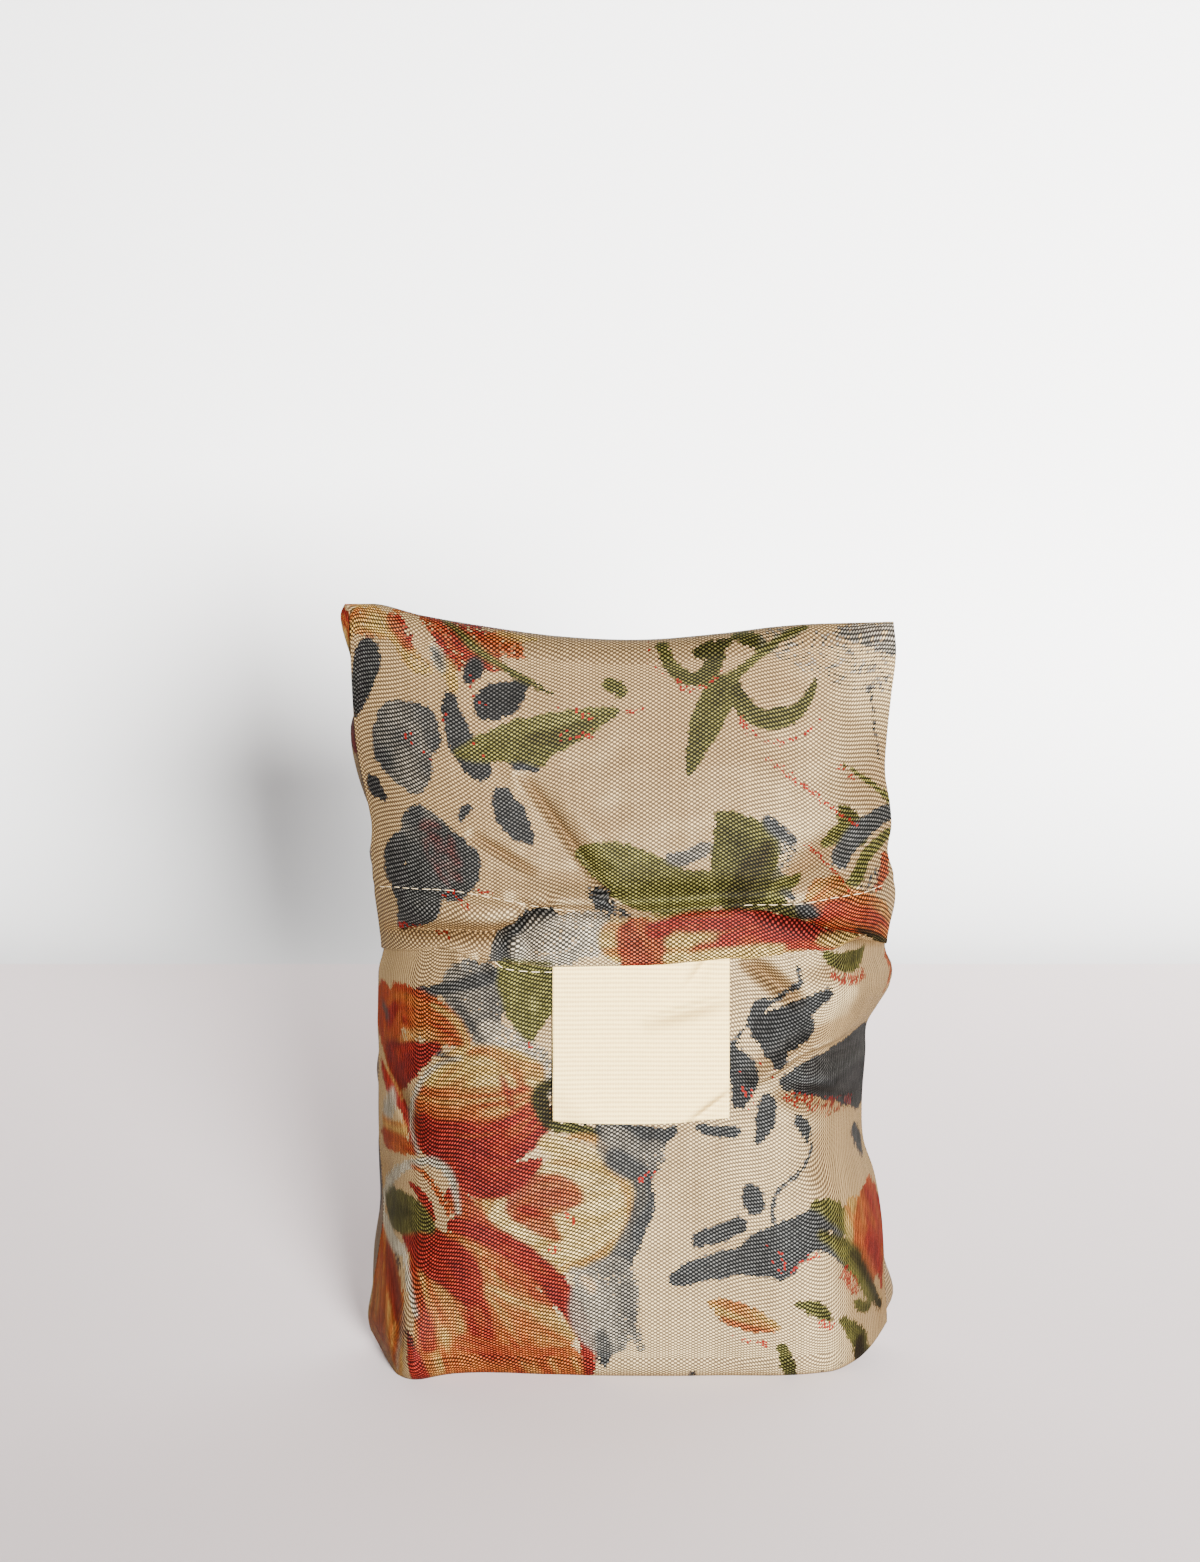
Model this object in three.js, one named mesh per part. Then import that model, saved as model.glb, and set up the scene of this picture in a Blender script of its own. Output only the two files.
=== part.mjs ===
// A shopping bag of printed cloth, folded up in its own envelope pouch and standing on its foot.
// Lengths are in millimetres. X runs to the right as the flap is faced, Y away from the front and
// Z up. The origin is on the surface, below the middle of the pouch.
import * as THREE from 'three';

// Driving sizes
const CLOTH = 1.2; // thickness of the pouch's cloth
const GAP = 0.3; // between pieces, and between layers of cloth that only touch
const TOP = 153.5; // nominal height of the top fold; TOP_EDGE gives its real line
const TOP_ROUND = 4.5; // height over which the top fold turns
const FOOT_ROUND = 5; // height over which the front and back turn into the foot
const FOOT_INSET = 0.2; // share of its depth that the pouch draws in to its flat foot
const SEAM = 0.6; // half depth of the cloth's edge at a side seam
const WRAP_FROM = 0.72; // share of the half width where the back starts to wrap round the side
const POCKET_EDGE = 98.5; // height of the pocket's hem edge, under the flap
const FLAP_RELEASE = 10; // height above the pocket's edge where the flap is back on the bulk
const FLAP_EASE = 0.3; // slack of the flap over the pocket's hem and over the label
const HEM = 0.6; // what the turned-in hem adds to the flap's thickness
const HEM_DEPTH = 11; // from the flap's edge to its row of stitches

const LABEL = {
  left: -13.5,
  right: 22.3,
  bottom: 56,
  top: 94, // under the flap, 3 mm above its edge
  thick: 1,
  sag: 0.8, // how far its lower edge bows down in the middle
  standOff: 1, // how far its lower corners stand off the pocket
};

const BAG = {
  layers: 7,
  reach: 0.86, // share of the pouch's half width that the folded bundle takes up
  top: 133, // nominal height of its upper folds at the middle
  shoulder: 11, // how much lower the upper folds lie at its sides
  clear: 2, // room left for the pouch's creases
  filling: 0.68, // share of the pitch between layers that is cloth
  thickest: 3,
};

// How far the pouch bulges in front of the side seams and behind them at mid-width, by height, and
// the power of the crown from seam to seam, where a higher one is flatter.
const DEPTHS = [
  { z: 0, front: 15.2, back: 14.6, power: 8 },
  { z: 12, front: 17.6, back: 16.8, power: 7 },
  { z: 35, front: 18.8, back: 17.8, power: 6 },
  { z: 60, front: 18.4, back: 17.8, power: 5.5 },
  { z: 88, front: 17, back: 16.8, power: 5 },
  { z: 108, front: 15, back: 15.2, power: 4.6 },
  { z: 128, front: 11.4, back: 11.8, power: 4.2 },
  { z: 142, front: 7.6, back: 8.2, power: 3.8 },
  { z: 153.5, front: 4, back: 4.4, power: 3.4 },
];

// The side seams' distance from the middle, by height.
const OUTLINE = [
  { z: 0, left: 50.6, right: 56.6 },
  { z: 10, left: 52.2, right: 56.4 },
  { z: 16, left: 51.6, right: 55.8 },
  { z: 31, left: 49.4, right: 55 },
  { z: 42, left: 49.4, right: 53 },
  { z: 54, left: 49.9, right: 50.8 },
  { z: 66, left: 50, right: 50.8 },
  { z: 74, left: 49.9, right: 51.6 },
  { z: 80, left: 49.8, right: 55.6 },
  { z: 85, left: 49.4, right: 56.4 },
  { z: 90, left: 48.2, right: 54.6 },
  { z: 99, left: 49, right: 55.8 },
  { z: 108, left: 50.8, right: 54.6 },
  { z: 128, left: 53, right: 55.2 },
  { z: 142, left: 54, right: 55.6 },
  { z: 150, left: 54.8, right: 55.9 },
  { z: 160, left: 54.6, right: 55.9 },
];

// How far the back wraps out past the side seams, as a share of the half width, by height.
const WRAP = [
  { z: 0, left: 0.08, right: 0.08 },
  { z: 10, left: 0.1, right: 0.13 },
  { z: 24, left: 0.12, right: 0.06 },
  { z: 45, left: 0.08, right: 0.06 },
  { z: 72, left: 0.06, right: 0.11 },
  { z: 98, left: 0.12, right: 0.05 },
  { z: 112, left: 0.14, right: 0.05 },
  { z: 132, left: 0.11, right: 0.05 },
  { z: 144, left: 0.1, right: 0.04 },
  { z: 150, left: 0.02, right: 0.02 },
];

// The top fold sags between the two upper corners. u is the share of the half width, -1 to 1.
const TOP_EDGE = [
  { u: -1, z: 157.6 },
  { u: -0.96, z: 160 },
  { u: -0.9, z: 160.2 },
  { u: -0.74, z: 158 },
  { u: -0.5, z: 155.6 },
  { u: -0.22, z: 153.5 },
  { u: 0.08, z: 152.8 },
  { u: 0.37, z: 153 },
  { u: 0.68, z: 155.3 },
  { u: 1, z: 156.6 },
];

// The foot's corners curl up off the surface.
const FOOT_EDGE = [
  { u: -1, z: 5 },
  { u: -0.97, z: 1.8 },
  { u: -0.94, z: 0.4 },
  { u: -0.91, z: 0 },
  { u: 0.78, z: 0 },
  { u: 0.885, z: 1.7 },
  { u: 0.945, z: 3.8 },
  { u: 1, z: 7.6 },
];

// The flap's hem edge across the front.
const FLAP_EDGE = [
  { x: -54, z: 88.6 },
  { x: -46, z: 89.6 },
  { x: -36, z: 91.6 },
  { x: -28, z: 89.6 },
  { x: -13, z: 89.2 },
  { x: 5, z: 89.4 },
  { x: 23, z: 91 },
  { x: 35, z: 90.6 },
  { x: 43, z: 91.3 },
  { x: 51, z: 90.6 },
  { x: 58, z: 88.6 },
];

// Main folds, each a soft ridge (rise above 0) or trough from one end to the other.
const FRONT_FOLDS = [
  { x0: -54, z0: 160, x1: -40, z1: 153, width: 4, rise: 1.1 },
  { x0: -26, z0: 134, x1: -17, z1: 124, width: 3.6, rise: 0.9 },
  { x0: -18, z0: 125, x1: -1, z1: 103, width: 3.4, rise: -0.9 },
  { x0: -29, z0: 114, x1: -19, z1: 108, width: 3.4, rise: -0.7 },
  { x0: 34, z0: 107, x1: 48, z1: 115, width: 4.6, rise: -1.2 },
  { x0: -50, z0: 93, x1: -30, z1: 94, width: 3.6, rise: -0.8 },
  { x0: -30, z0: 94, x1: -15, z1: 100, width: 3.6, rise: -0.9 },
  { x0: -6, z0: 100, x1: 26, z1: 100.5, width: 3.4, rise: -0.8 },
  { x0: 26, z0: 100, x1: 58, z1: 89, width: 4.2, rise: -1.2 },
  { x0: -22, z0: 100, x1: -21, z1: 90, width: 3.4, rise: 1 },
  { x0: 26, z0: 89, x1: 37, z1: 80, width: 4, rise: -1.4 },
  { x0: 28, z0: 65, x1: 52, z1: 75, width: 4, rise: 1.8 },
  { x0: 32, z0: 61, x1: 51, z1: 56, width: 3.8, rise: -1.5 },
  { x0: 42, z0: 69, x1: 52, z1: 80, width: 3.6, rise: -0.8 },
  { x0: 54, z0: 26, x1: 55, z1: 8, width: 4, rise: -1 },
  { x0: -48, z0: 44, x1: -47, z1: 24, width: 4, rise: -1.4 },
  { x0: -47, z0: 18, x1: -44, z1: 2, width: 3.6, rise: -1.6 },
  { x0: -49, z0: 66, x1: -42, z1: 52, width: 3.6, rise: -1.2 },
];

// Broad lumps and hollows of the front, each out by so much at its middle.
const FRONT_LUMPS = [
  { x: -44, z: 3, wide: 7, tall: 17, out: 5.5 },
  { x: -27, z: 0, wide: 12, tall: 8, out: -1.6 },
  { x: 46, z: 63, wide: 7, tall: 7, out: 1.6 },
  { x: 50, z: 102, wide: 7, tall: 6, out: 2 },
  { x: 48, z: 83, wide: 7, tall: 6, out: 1.6 },
  { x: -10, z: 140, wide: 26, tall: 14, out: 0.8 },
];

const BACK_FOLDS = [
  { x0: -44, z0: 148, x1: -8, z1: 118, width: 5, rise: 1.2 },
  { x0: 46, z0: 140, x1: 14, z1: 112, width: 5, rise: -1.2 },
  { x0: -50, z0: 92, x1: -22, z1: 84, width: 4.5, rise: -1.4 },
  { x0: 24, z0: 70, x1: 50, z1: 80, width: 4.5, rise: -1.2 },
  { x0: -40, z0: 20, x1: -12, z1: 38, width: 5.5, rise: 1 },
  { x0: 18, z0: 14, x1: 46, z1: 30, width: 5, rise: -1 },
];

// How many rows of faces each stretch of the strip has, and how many columns lie beside its middle.
const ROWS = { flap: 19, turn: 3, back: 22, foot: 3, sole: 4, pocket: 26 };
const SIDE_COLUMNS = 14;
const COLUMN_CROWDING = 1.3; // above 1, columns lie closer together towards the seams

const clamp = THREE.MathUtils.clamp;
const lerp = THREE.MathUtils.lerp;
const smoothstep = THREE.MathUtils.smoothstep;

// A smooth curve through one column of a table, level beyond its ends.
function curve(table, along, of) {
  const last = table.length - 1;
  const slope = table.map((row, i) => {
    const before = table[Math.max(i - 1, 0)];
    const after = table[Math.min(i + 1, last)];
    return (after[of] - before[of]) / (after[along] - before[along]);
  });
  return (at) => {
    if (at <= table[0][along]) return table[0][of];
    if (at >= table[last][along]) return table[last][of];
    const i = table.findIndex((row) => at < row[along]) - 1;
    const run = table[i + 1][along] - table[i][along];
    const t = (at - table[i][along]) / run;
    const rise = table[i + 1][of] - table[i][of];
    const bend = slope[i] * run - rise;
    const unbend = rise - slope[i + 1] * run;
    return table[i][of] + t * rise + t * (1 - t) * ((1 - t) * bend + t * unbend);
  };
}

const depth = { front: curve(DEPTHS, 'z', 'front'), back: curve(DEPTHS, 'z', 'back') };
const power = curve(DEPTHS, 'z', 'power');
const outline = { left: curve(OUTLINE, 'z', 'left'), right: curve(OUTLINE, 'z', 'right') };
const wrap = { left: curve(WRAP, 'z', 'left'), right: curve(WRAP, 'z', 'right') };
const topEdge = curve(TOP_EDGE, 'u', 'z');
const footEdge = curve(FOOT_EDGE, 'u', 'z');
const flapEdge = curve(FLAP_EDGE, 'x', 'z');

// The height that the folds add at a place, from each fold's distance to it.
function relief(folds, x, z) {
  let sum = 0;
  for (const fold of folds) {
    const dx = fold.x1 - fold.x0;
    const dz = fold.z1 - fold.z0;
    const t = ((x - fold.x0) * dx + (z - fold.z0) * dz) / (dx * dx + dz * dz);
    const on = clamp(t, 0, 1);
    const away = Math.hypot(x - fold.x0 - on * dx, z - fold.z0 - on * dz) / fold.width;
    const fade = 1 - 0.6 * Math.abs(2 * on - 1) ** 2;
    sum += fold.rise * fade * Math.exp(-away * away * 2);
  }
  return sum;
}

function lumps(x, z) {
  let sum = 0;
  for (const lump of FRONT_LUMPS) {
    sum += lump.out * Math.exp(-(((x - lump.x) / lump.wide) ** 2) - ((z - lump.z) / lump.tall) ** 2);
  }
  return sum;
}

// How full the section is at a nominal height: 0 on the top fold, 1 over most of the pouch.
function fullness(z) {
  const turn = clamp((z - TOP + TOP_ROUND) / TOP_ROUND, 0, 1);
  const foot = clamp(1 - z / FOOT_ROUND, 0, 1);
  const drawnIn = FOOT_INSET * (1 - Math.sqrt(1 - foot * foot));
  return Math.sqrt(1 - turn * turn) * (1 - drawnIn);
}

const realHeight = (u, z) => lerp(footEdge(u), topEdge(u), z / TOP);
const nominalHeight = (u, real) => (TOP * (real - footEdge(u))) / (topEdge(u) - footEdge(u));

const crownAt = (u, z) => 1 - Math.abs(u) ** power(z);

// How deep the smooth pouch is on one side of its seams' plane.
const smoothDepth = (side, u, z) => (SEAM + depth[side](z) * crownAt(u, z)) * fullness(z);

// A point of the pouch's outer skin: side is front or back, u the share of the half width and z
// the nominal height.
function skin(side, u, z) {
  const real = realHeight(u, z);
  const half = u < 0 ? 'left' : 'right';
  const edge = Math.abs(u);
  const turning = clamp((edge - WRAP_FROM) / (1 - WRAP_FROM), 0, 1);
  const bump = side === 'back' ? wrap[half](z) * Math.sin(Math.PI * turning) : 0;
  const x = Math.sign(u) * outline[half](real) * (edge + bump);
  const held = Math.min(1, 2 * crownAt(u, z)) * fullness(z);
  const folds = relief(side === 'front' ? FRONT_FOLDS : BACK_FOLDS, x, real);
  const bulk = side === 'front' ? lumps(x, real) : 0;
  const moved = (folds * smoothstep(z, 0, 2 * FOOT_ROUND) + bulk) * held;
  const out = smoothDepth(side, u, z) + moved;
  return new THREE.Vector3(x, side === 'front' ? -out : out, real);
}

// The outward direction of the front skin at a place.
function frontNormal(u, z) {
  const step = 0.01;
  const across = skin('front', u + step, z).sub(skin('front', u - step, z));
  const up = skin('front', u, z + 1).sub(skin('front', u, z - 1));
  return across.cross(up).normalize();
}

// The normal of each point of a grid, on the side from which its columns run to the right as its
// rows run up.
function gridNormals(grid) {
  const lastRow = grid.length - 1;
  const lastColumn = grid[0].length - 1;
  return grid.map((row, i) =>
    row.map((_, j) => {
      const right = grid[i][Math.min(j + 1, lastColumn)];
      const left = grid[i][Math.max(j - 1, 0)];
      const above = grid[Math.min(i + 1, lastRow)][j];
      const below = grid[Math.max(i - 1, 0)][j];
      const across = new THREE.Vector3().subVectors(right, left);
      return across.cross(new THREE.Vector3().subVectors(above, below)).normalize();
    }),
  );
}

function shifted(grid, normals, by) {
  return grid.map((row, i) =>
    row.map((point, j) => point.clone().addScaledVector(normals[i][j], by(i, j))),
  );
}

// One closed sheet between an outer and an inner grid of points.
function closedSheet(outer, inner) {
  const rows = outer.length;
  const columns = outer[0].length;
  const position = [...outer.flat(), ...inner.flat()].flatMap((p) => [p.x, p.y, p.z]);
  const index = [];
  const out = (i, j) => i * columns + j;
  const under = (i, j) => (rows + i) * columns + j;
  const quad = (a, b, c, d) => index.push(a, b, d, b, c, d);
  for (let i = 0; i < rows - 1; i++) {
    for (let j = 0; j < columns - 1; j++) {
      quad(out(i, j), out(i, j + 1), out(i + 1, j + 1), out(i + 1, j));
      quad(under(i, j), under(i + 1, j), under(i + 1, j + 1), under(i, j + 1));
    }
  }
  const right = columns - 1;
  for (let i = 0; i < rows - 1; i++) {
    quad(out(i, right), under(i, right), under(i + 1, right), out(i + 1, right));
    quad(out(i, 0), out(i + 1, 0), under(i + 1, 0), under(i, 0));
  }
  const end = rows - 1;
  for (let j = 0; j < columns - 1; j++) {
    quad(out(0, j), under(0, j), under(0, j + 1), out(0, j + 1));
    quad(out(end, j), out(end, j + 1), under(end, j + 1), under(end, j));
  }
  const geometry = new THREE.BufferGeometry();
  geometry.setAttribute('position', new THREE.Float32BufferAttribute(position, 3));
  geometry.setIndex(index);
  geometry.computeVertexNormals();
  return geometry;
}

// Columns from seam to seam, as shares of the half width.
function columnShares() {
  const shares = [];
  for (let k = -SIDE_COLUMNS; k <= SIDE_COLUMNS; k++) {
    const t = Math.abs(k) / SIDE_COLUMNS;
    shares.push(Math.sign(k) * (1 - (1 - t) ** COLUMN_CROWDING));
  }
  return shares;
}

const flapEdgeHeight = (u) => nominalHeight(u, flapEdge(u * outline[u < 0 ? 'left' : 'right'](90)));
const pocketEdgeHeight = (u) => nominalHeight(u, POCKET_EDGE);

// The strip's rows in order along the cloth, from the flap's edge to the pocket's. Each gives the
// point of a column and the row's side and part.
function stripRows() {
  const rows = [];
  const add = (part, side, height) => rows.push({ part, side, height });
  const quarter = Math.PI / 2;
  for (let k = 0; k < ROWS.flap; k++) {
    add('flap', 'front', (u) => lerp(flapEdgeHeight(u), TOP - TOP_ROUND, k / ROWS.flap));
  }
  const turnHeight = (k) => TOP - TOP_ROUND * (1 - Math.sin((quarter * k) / ROWS.turn));
  for (let k = 0; k <= ROWS.turn; k++) add('turn', 'front', () => turnHeight(k));
  for (let k = ROWS.turn - 1; k >= 0; k--) add('turn', 'back', () => turnHeight(k));
  for (let k = 1; k < ROWS.back; k++) {
    add('back', 'back', () => lerp(TOP - TOP_ROUND, FOOT_ROUND, k / ROWS.back));
  }
  const footHeight = (k) => FOOT_ROUND * (1 - Math.sin((quarter * k) / ROWS.foot));
  for (let k = 0; k <= ROWS.foot; k++) add('foot', 'back', () => footHeight(k));
  for (let k = 1; k < ROWS.sole; k++) rows.push({ part: 'sole', share: k / ROWS.sole });
  for (let k = ROWS.foot; k >= 0; k--) add('foot', 'front', () => footHeight(k));
  for (let k = 1; k <= ROWS.pocket; k++) {
    add('pocket', 'front', (u) => lerp(FOOT_ROUND, pocketEdgeHeight(u), k / ROWS.pocket));
  }
  return rows;
}

function stripPoint(row, u) {
  if (row.part !== 'sole') return skin(row.side, u, row.height(u));
  return skin('back', u, 0).lerp(skin('front', u, 0), row.share);
}

// Where the label's upper end lies under the flap, the flap rides over it.
function roomForLabel(x) {
  const beyond = Math.max(LABEL.left - x, x - LABEL.right, 0);
  return (LABEL.thick + GAP + FLAP_EASE) * (1 - smoothstep(beyond, 2, 9));
}

// How far the flap stands out from the skin at a height: over the pocket's hem by one cloth.
function flapLift(x, z) {
  const over = 1 - smoothstep(z, POCKET_EDGE + 1.5, POCKET_EDGE + FLAP_RELEASE);
  return (CLOTH + GAP + FLAP_EASE + roomForLabel(x)) * over;
}

// The strip's outer grid, its inner grid a cloth's thickness under it, and nothing of the front
// behind the seams' plane or of the back before it.
function pouch() {
  const shares = columnShares();
  const rows = stripRows();
  const base = rows.map((row) => shares.map((u) => stripPoint(row, u)));
  const onFlap = (i) => rows[i].part === 'flap';
  const hem = (i, j) => {
    if (!onFlap(i)) return 0;
    const aboveEdge = base[i][j].z - base[0][j].z;
    return HEM * (1 - smoothstep(aboveEdge, HEM_DEPTH - 3, HEM_DEPTH));
  };
  const lift = (i, j) => (onFlap(i) ? flapLift(base[i][j].x, base[i][j].z) + hem(i, j) : 0);
  const outer = shifted(base, gridNormals(base), lift);
  const isSeam = (j) => j === 0 || j === shares.length - 1;
  const thick = (i, j) => (isSeam(j) ? SEAM - GAP / 2 : CLOTH + hem(i, j));
  const inner = shifted(outer, gridNormals(outer), (i, j) => -thick(i, j));
  inner.forEach((row, i) =>
    row.forEach((point, j) => {
      const side = Math.sign(Math.round(base[i][j].y * 1000));
      const least = (GAP / 2) * Math.min(1, Math.abs(base[i][j].y) / SEAM);
      point.y = side * (isSeam(j) ? least : Math.max(side * point.y, least));
    }),
  );
  return closedSheet(outer, inner);
}

function label() {
  const steps = 9;
  const grid = [];
  const normals = [];
  for (let i = 0; i <= steps; i++) {
    const up = i / steps;
    grid.push([]);
    normals.push([]);
    for (let j = 0; j <= steps; j++) {
      const across = j / steps;
      const x = lerp(LABEL.left, LABEL.right, across);
      const bow = LABEL.sag * 4 * across * (1 - across) * (1 - up);
      const real = lerp(LABEL.bottom, LABEL.top, up) - bow;
      const u = x / outline[x < 0 ? 'left' : 'right'](real);
      const z = nominalHeight(u, real);
      const corner = (2 * across - 1) ** 2 * (1 - up) ** 3;
      const normal = frontNormal(u, z);
      normals[i].push(normal);
      grid[i].push(skin('front', u, z).addScaledVector(normal, GAP + LABEL.standOff * corner));
    }
  }
  return closedSheet(shifted(grid, normals, () => LABEL.thick), grid);
}

// The room inside the pouch at a column and a nominal height, from front to back.
function cavity(u, z) {
  const step = 0.02;
  const run = step * outline[u < 0 ? 'left' : 'right'](z);
  const fall = (smoothDepth('front', u - step, z) - smoothDepth('front', u + step, z)) / (2 * run);
  const wall = (CLOTH + GAP) * Math.hypot(1, fall) + BAG.clear;
  return { front: wall - smoothDepth('front', u, z), back: smoothDepth('back', u, z) - wall };
}

// The bundle's middle surface: up its front layer, over and down the next one, and so on.
function foldedBag() {
  const heights = 9;
  const bends = 2;
  const columns = 12;
  const grid = [];
  const half = [];
  const addRow = (pointAt) => {
    const row = [];
    const halves = [];
    for (let j = 0; j <= columns; j++) {
      const v = (2 * j) / columns - 1;
      const made = pointAt(v * BAG.reach, v);
      row.push(made.point);
      halves.push(made.half);
    }
    grid.push(row);
    half.push(halves);
  };
  const place = (u, z, layer) => {
    const room = cavity(u, z);
    const pitch = (room.back - room.front) / BAG.layers;
    const y = room.front + (layer + 0.5) * pitch;
    const x = skin('front', u, z).x;
    const thick = Math.min(BAG.thickest, BAG.filling * pitch);
    return { point: new THREE.Vector3(x, y, realHeight(u, z)), pitch, half: thick / 2 };
  };
  const low = (u) => {
    const near = place(u, 2 * FOOT_ROUND, 0);
    return nominalHeight(u, footEdge(u) + CLOTH + GAP + near.pitch / 2 + near.half);
  };
  const high = (v) => BAG.top - BAG.shoulder * v * v;
  for (let layer = 0; layer < BAG.layers; layer++) {
    const rising = layer % 2 === 0;
    for (let k = 0; k <= heights; k++) {
      const share = rising ? k / heights : 1 - k / heights;
      addRow((u, v) => place(u, lerp(low(u), high(v), share), layer));
    }
    if (layer === BAG.layers - 1) break;
    for (let k = 1; k <= bends; k++) {
      const angle = (Math.PI * k) / (bends + 1);
      addRow((u, v) => {
        const made = place(u, rising ? high(v) : low(u), layer);
        made.point.y += (made.pitch / 2) * (1 - Math.cos(angle));
        made.point.z += (rising ? 1 : -1) * (made.pitch / 2) * Math.sin(angle);
        return made;
      });
    }
  }
  const normals = gridNormals(grid);
  const outer = shifted(grid, normals, (i, j) => half[i][j]);
  const inner = shifted(grid, normals, (i, j) => -half[i][j]);
  return closedSheet(outer, inner);
}

function mesh(name, geometry, color, roughness) {
  const material = new THREE.MeshStandardMaterial({ color, roughness, metalness: 0 });
  const made = new THREE.Mesh(geometry, material);
  made.name = name;
  return made;
}

const model = new THREE.Group();
model.add(mesh('pouch', pouch(), 0xc9b99c, 0.55));
model.add(mesh('label', label(), 0xf1e9d6, 0.85));
model.add(mesh('folded_bag', foldedBag(), 0xbfae90, 0.6));

export default model;
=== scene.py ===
"""Looks of a shopping bag of printed silky cloth, folded up in its own envelope pouch.

The pouch is one strip of cloth: the flap, the back, the foot and the pocket in front. Shapes are in
millimetres, X to the right as the flap is faced, Y to the back and Z up, in the frame's own axes,
and meshes are made in metres. The front's print is held in the photo's pixels and then laid on the
cloth.
"""
import math
from collections import namedtuple

import bpy
import numpy as np
from bpy.props import FloatProperty, FloatVectorProperty, IntProperty, PointerProperty
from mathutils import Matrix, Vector


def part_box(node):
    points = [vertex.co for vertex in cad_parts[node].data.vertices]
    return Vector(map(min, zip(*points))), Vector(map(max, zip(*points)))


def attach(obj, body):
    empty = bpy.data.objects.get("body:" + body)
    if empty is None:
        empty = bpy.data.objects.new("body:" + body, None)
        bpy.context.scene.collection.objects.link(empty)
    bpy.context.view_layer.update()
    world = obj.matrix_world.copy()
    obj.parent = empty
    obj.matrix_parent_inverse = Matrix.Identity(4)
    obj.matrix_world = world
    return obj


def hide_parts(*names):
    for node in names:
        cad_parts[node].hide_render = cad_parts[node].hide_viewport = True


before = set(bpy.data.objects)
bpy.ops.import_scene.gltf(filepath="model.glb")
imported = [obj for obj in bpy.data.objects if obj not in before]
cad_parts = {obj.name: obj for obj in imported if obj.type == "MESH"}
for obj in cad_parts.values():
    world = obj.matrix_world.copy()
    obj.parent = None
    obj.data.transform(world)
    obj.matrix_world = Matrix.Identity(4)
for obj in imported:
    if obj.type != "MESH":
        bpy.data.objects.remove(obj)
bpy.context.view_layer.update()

bl_info = {
    "name": "Folded shopping bag",
    "version": (1, 0, 0),
    "blender": (4, 5, 0),
    "location": "3D View > Sidebar > Folded bag",
    "description": "Sews the printed pouch, its label and the bag folded inside it",
    "category": "Object",
}

MM = 0.001
SMALL = 1e-6  # keeps a division clear of zero
MIX_SOCKETS = ("Factor_Float", "A_Color", "B_Color", "Result_Color")

# Pouch
TOP = 153.5  # nominal height of the top fold; TOP_EDGE gives its real line
TOP_ROUND = 4.0
FOOT_ROUND = 5.0
FOOT_INSET = 0.12  # share of its depth that the pouch draws in to its flat foot
SEAM = 0.45  # half depth of the cloth at a side seam
WRAP_FROM = 0.72  # share of the half width where the back starts to wrap round the side
FOLDS_FULL = 10.0  # height above the foot where folds have their full rise
SEAM_GIVE = 2.0  # how soon they have it beside a side seam
FOLD_END_LOSS = 0.6  # share of its rise that a fold loses towards its ends
POCKET_EDGE = 98.5  # height of the pocket's hem edge, under the flap
FLAP_LOW = 90.0  # about the height of the flap's hem edge; FLAP_EDGE gives its real line
FLAP_LIFT = 1.5  # how far the flap lies out from the pocket
FLAP_HELD = 1.5  # height above the pocket's edge where the flap starts to lie back
FLAP_RELEASE = 10.0  # height above the pocket's edge where the flap is back on the bulk
LABEL_LIFT = 0.6  # how much further the flap lies out over the label
LABEL_LIFT_FULL = 1.0  # distances from the label's side where that starts to fade, and is gone
LABEL_LIFT_GONE = 7.0
LIFT_LOSS = 0.6  # share of its lift that the flap loses at a side seam
LIFT_LOSS_POWER = 10
DIP_REACH = 1.1  # how far from the stitch line the cloth is drawn in
ROLL_ABOVE = 2.4  # height of the roll's crest above the stitch line
ROLL_REACH = 2.0
HEM_THICK = 0.8
HEM_STEP = 2  # rows of the flap for each row of its hem
TUCK_STEP = 4  # rows of the pocket for each row of its hem
TUCK_FROM = 3  # the pocket's row, counted from its edge, where its hem starts
COLUMNS = 184  # from seam to seam
CROWDING = 1.12  # above 1, columns lie closer together towards the seams
FLAT_PASSES = 300  # passes of smoothing that even out places on the flat cloth

# Label
LABEL_TOP = 93.5
LABEL_STAND = 0.35  # how far the label's top stands out from the pocket
LABEL_STAND_MORE = 0.75  # how much further its lower edge does
LABEL_PASSES = 90  # passes of smoothing that level the pocket under it
LABEL_COLUMNS = 74
LABEL_ROWS = 78
CREASE_STEP = 0.4  # height over which a crease's slope is measured
CREASE_STEEP = 0.6  # the slope that has the full shade

# Stitches
STITCH_LATE = 0.15  # share of a stitch and its gap by which it may start late
STITCH_SHORT = 0.88  # the shortest and the longest, as shares of the usual one
STITCH_LONG = 1.08
STITCH_ARCH = 1.7  # how far a stitch arches up between its ends, in radii of the thread
STITCH_SUNK = 0.7  # how far its ends are sunk in the cloth, in radii
SEAM_CLEAR = 3  # columns without stitches beside each seam
TUBE_SIDES = 6
TUBE_RINGS = 6
FLAP_SEED = 51
POCKET_SEED = 52

# Folded bag
FILLING_LOW = 6.0
FILLING_HIGH = 128.0
FILLING_PASSES = 12  # passes of smoothing between the pouch's skin and the bag
FILLING_COLUMNS = 56
LAYER_ROWS = 44
FOLD_ROWS = 5

# The camera looks as the photo does, and the front's print was read from the photo.
PHOTO_WIDE = 1200
PHOTO_TALL = 1562
FILM = 36.0  # the longer side of the camera's film
LENS = 112.15
CAMERA_AWAY = 1000.0
CAMERA_PITCH = math.radians(12)
CAMERA_AIM = (-3.9, 0, 123.34)
PIXEL = CAMERA_AWAY * FILM / (LENS * PHOTO_TALL)  # what a pixel of the photo spans on the pouch
FOOT_ROWS_SEEN = 3  # rows of the sole that motifs on the foot's edge turn under to

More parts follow.
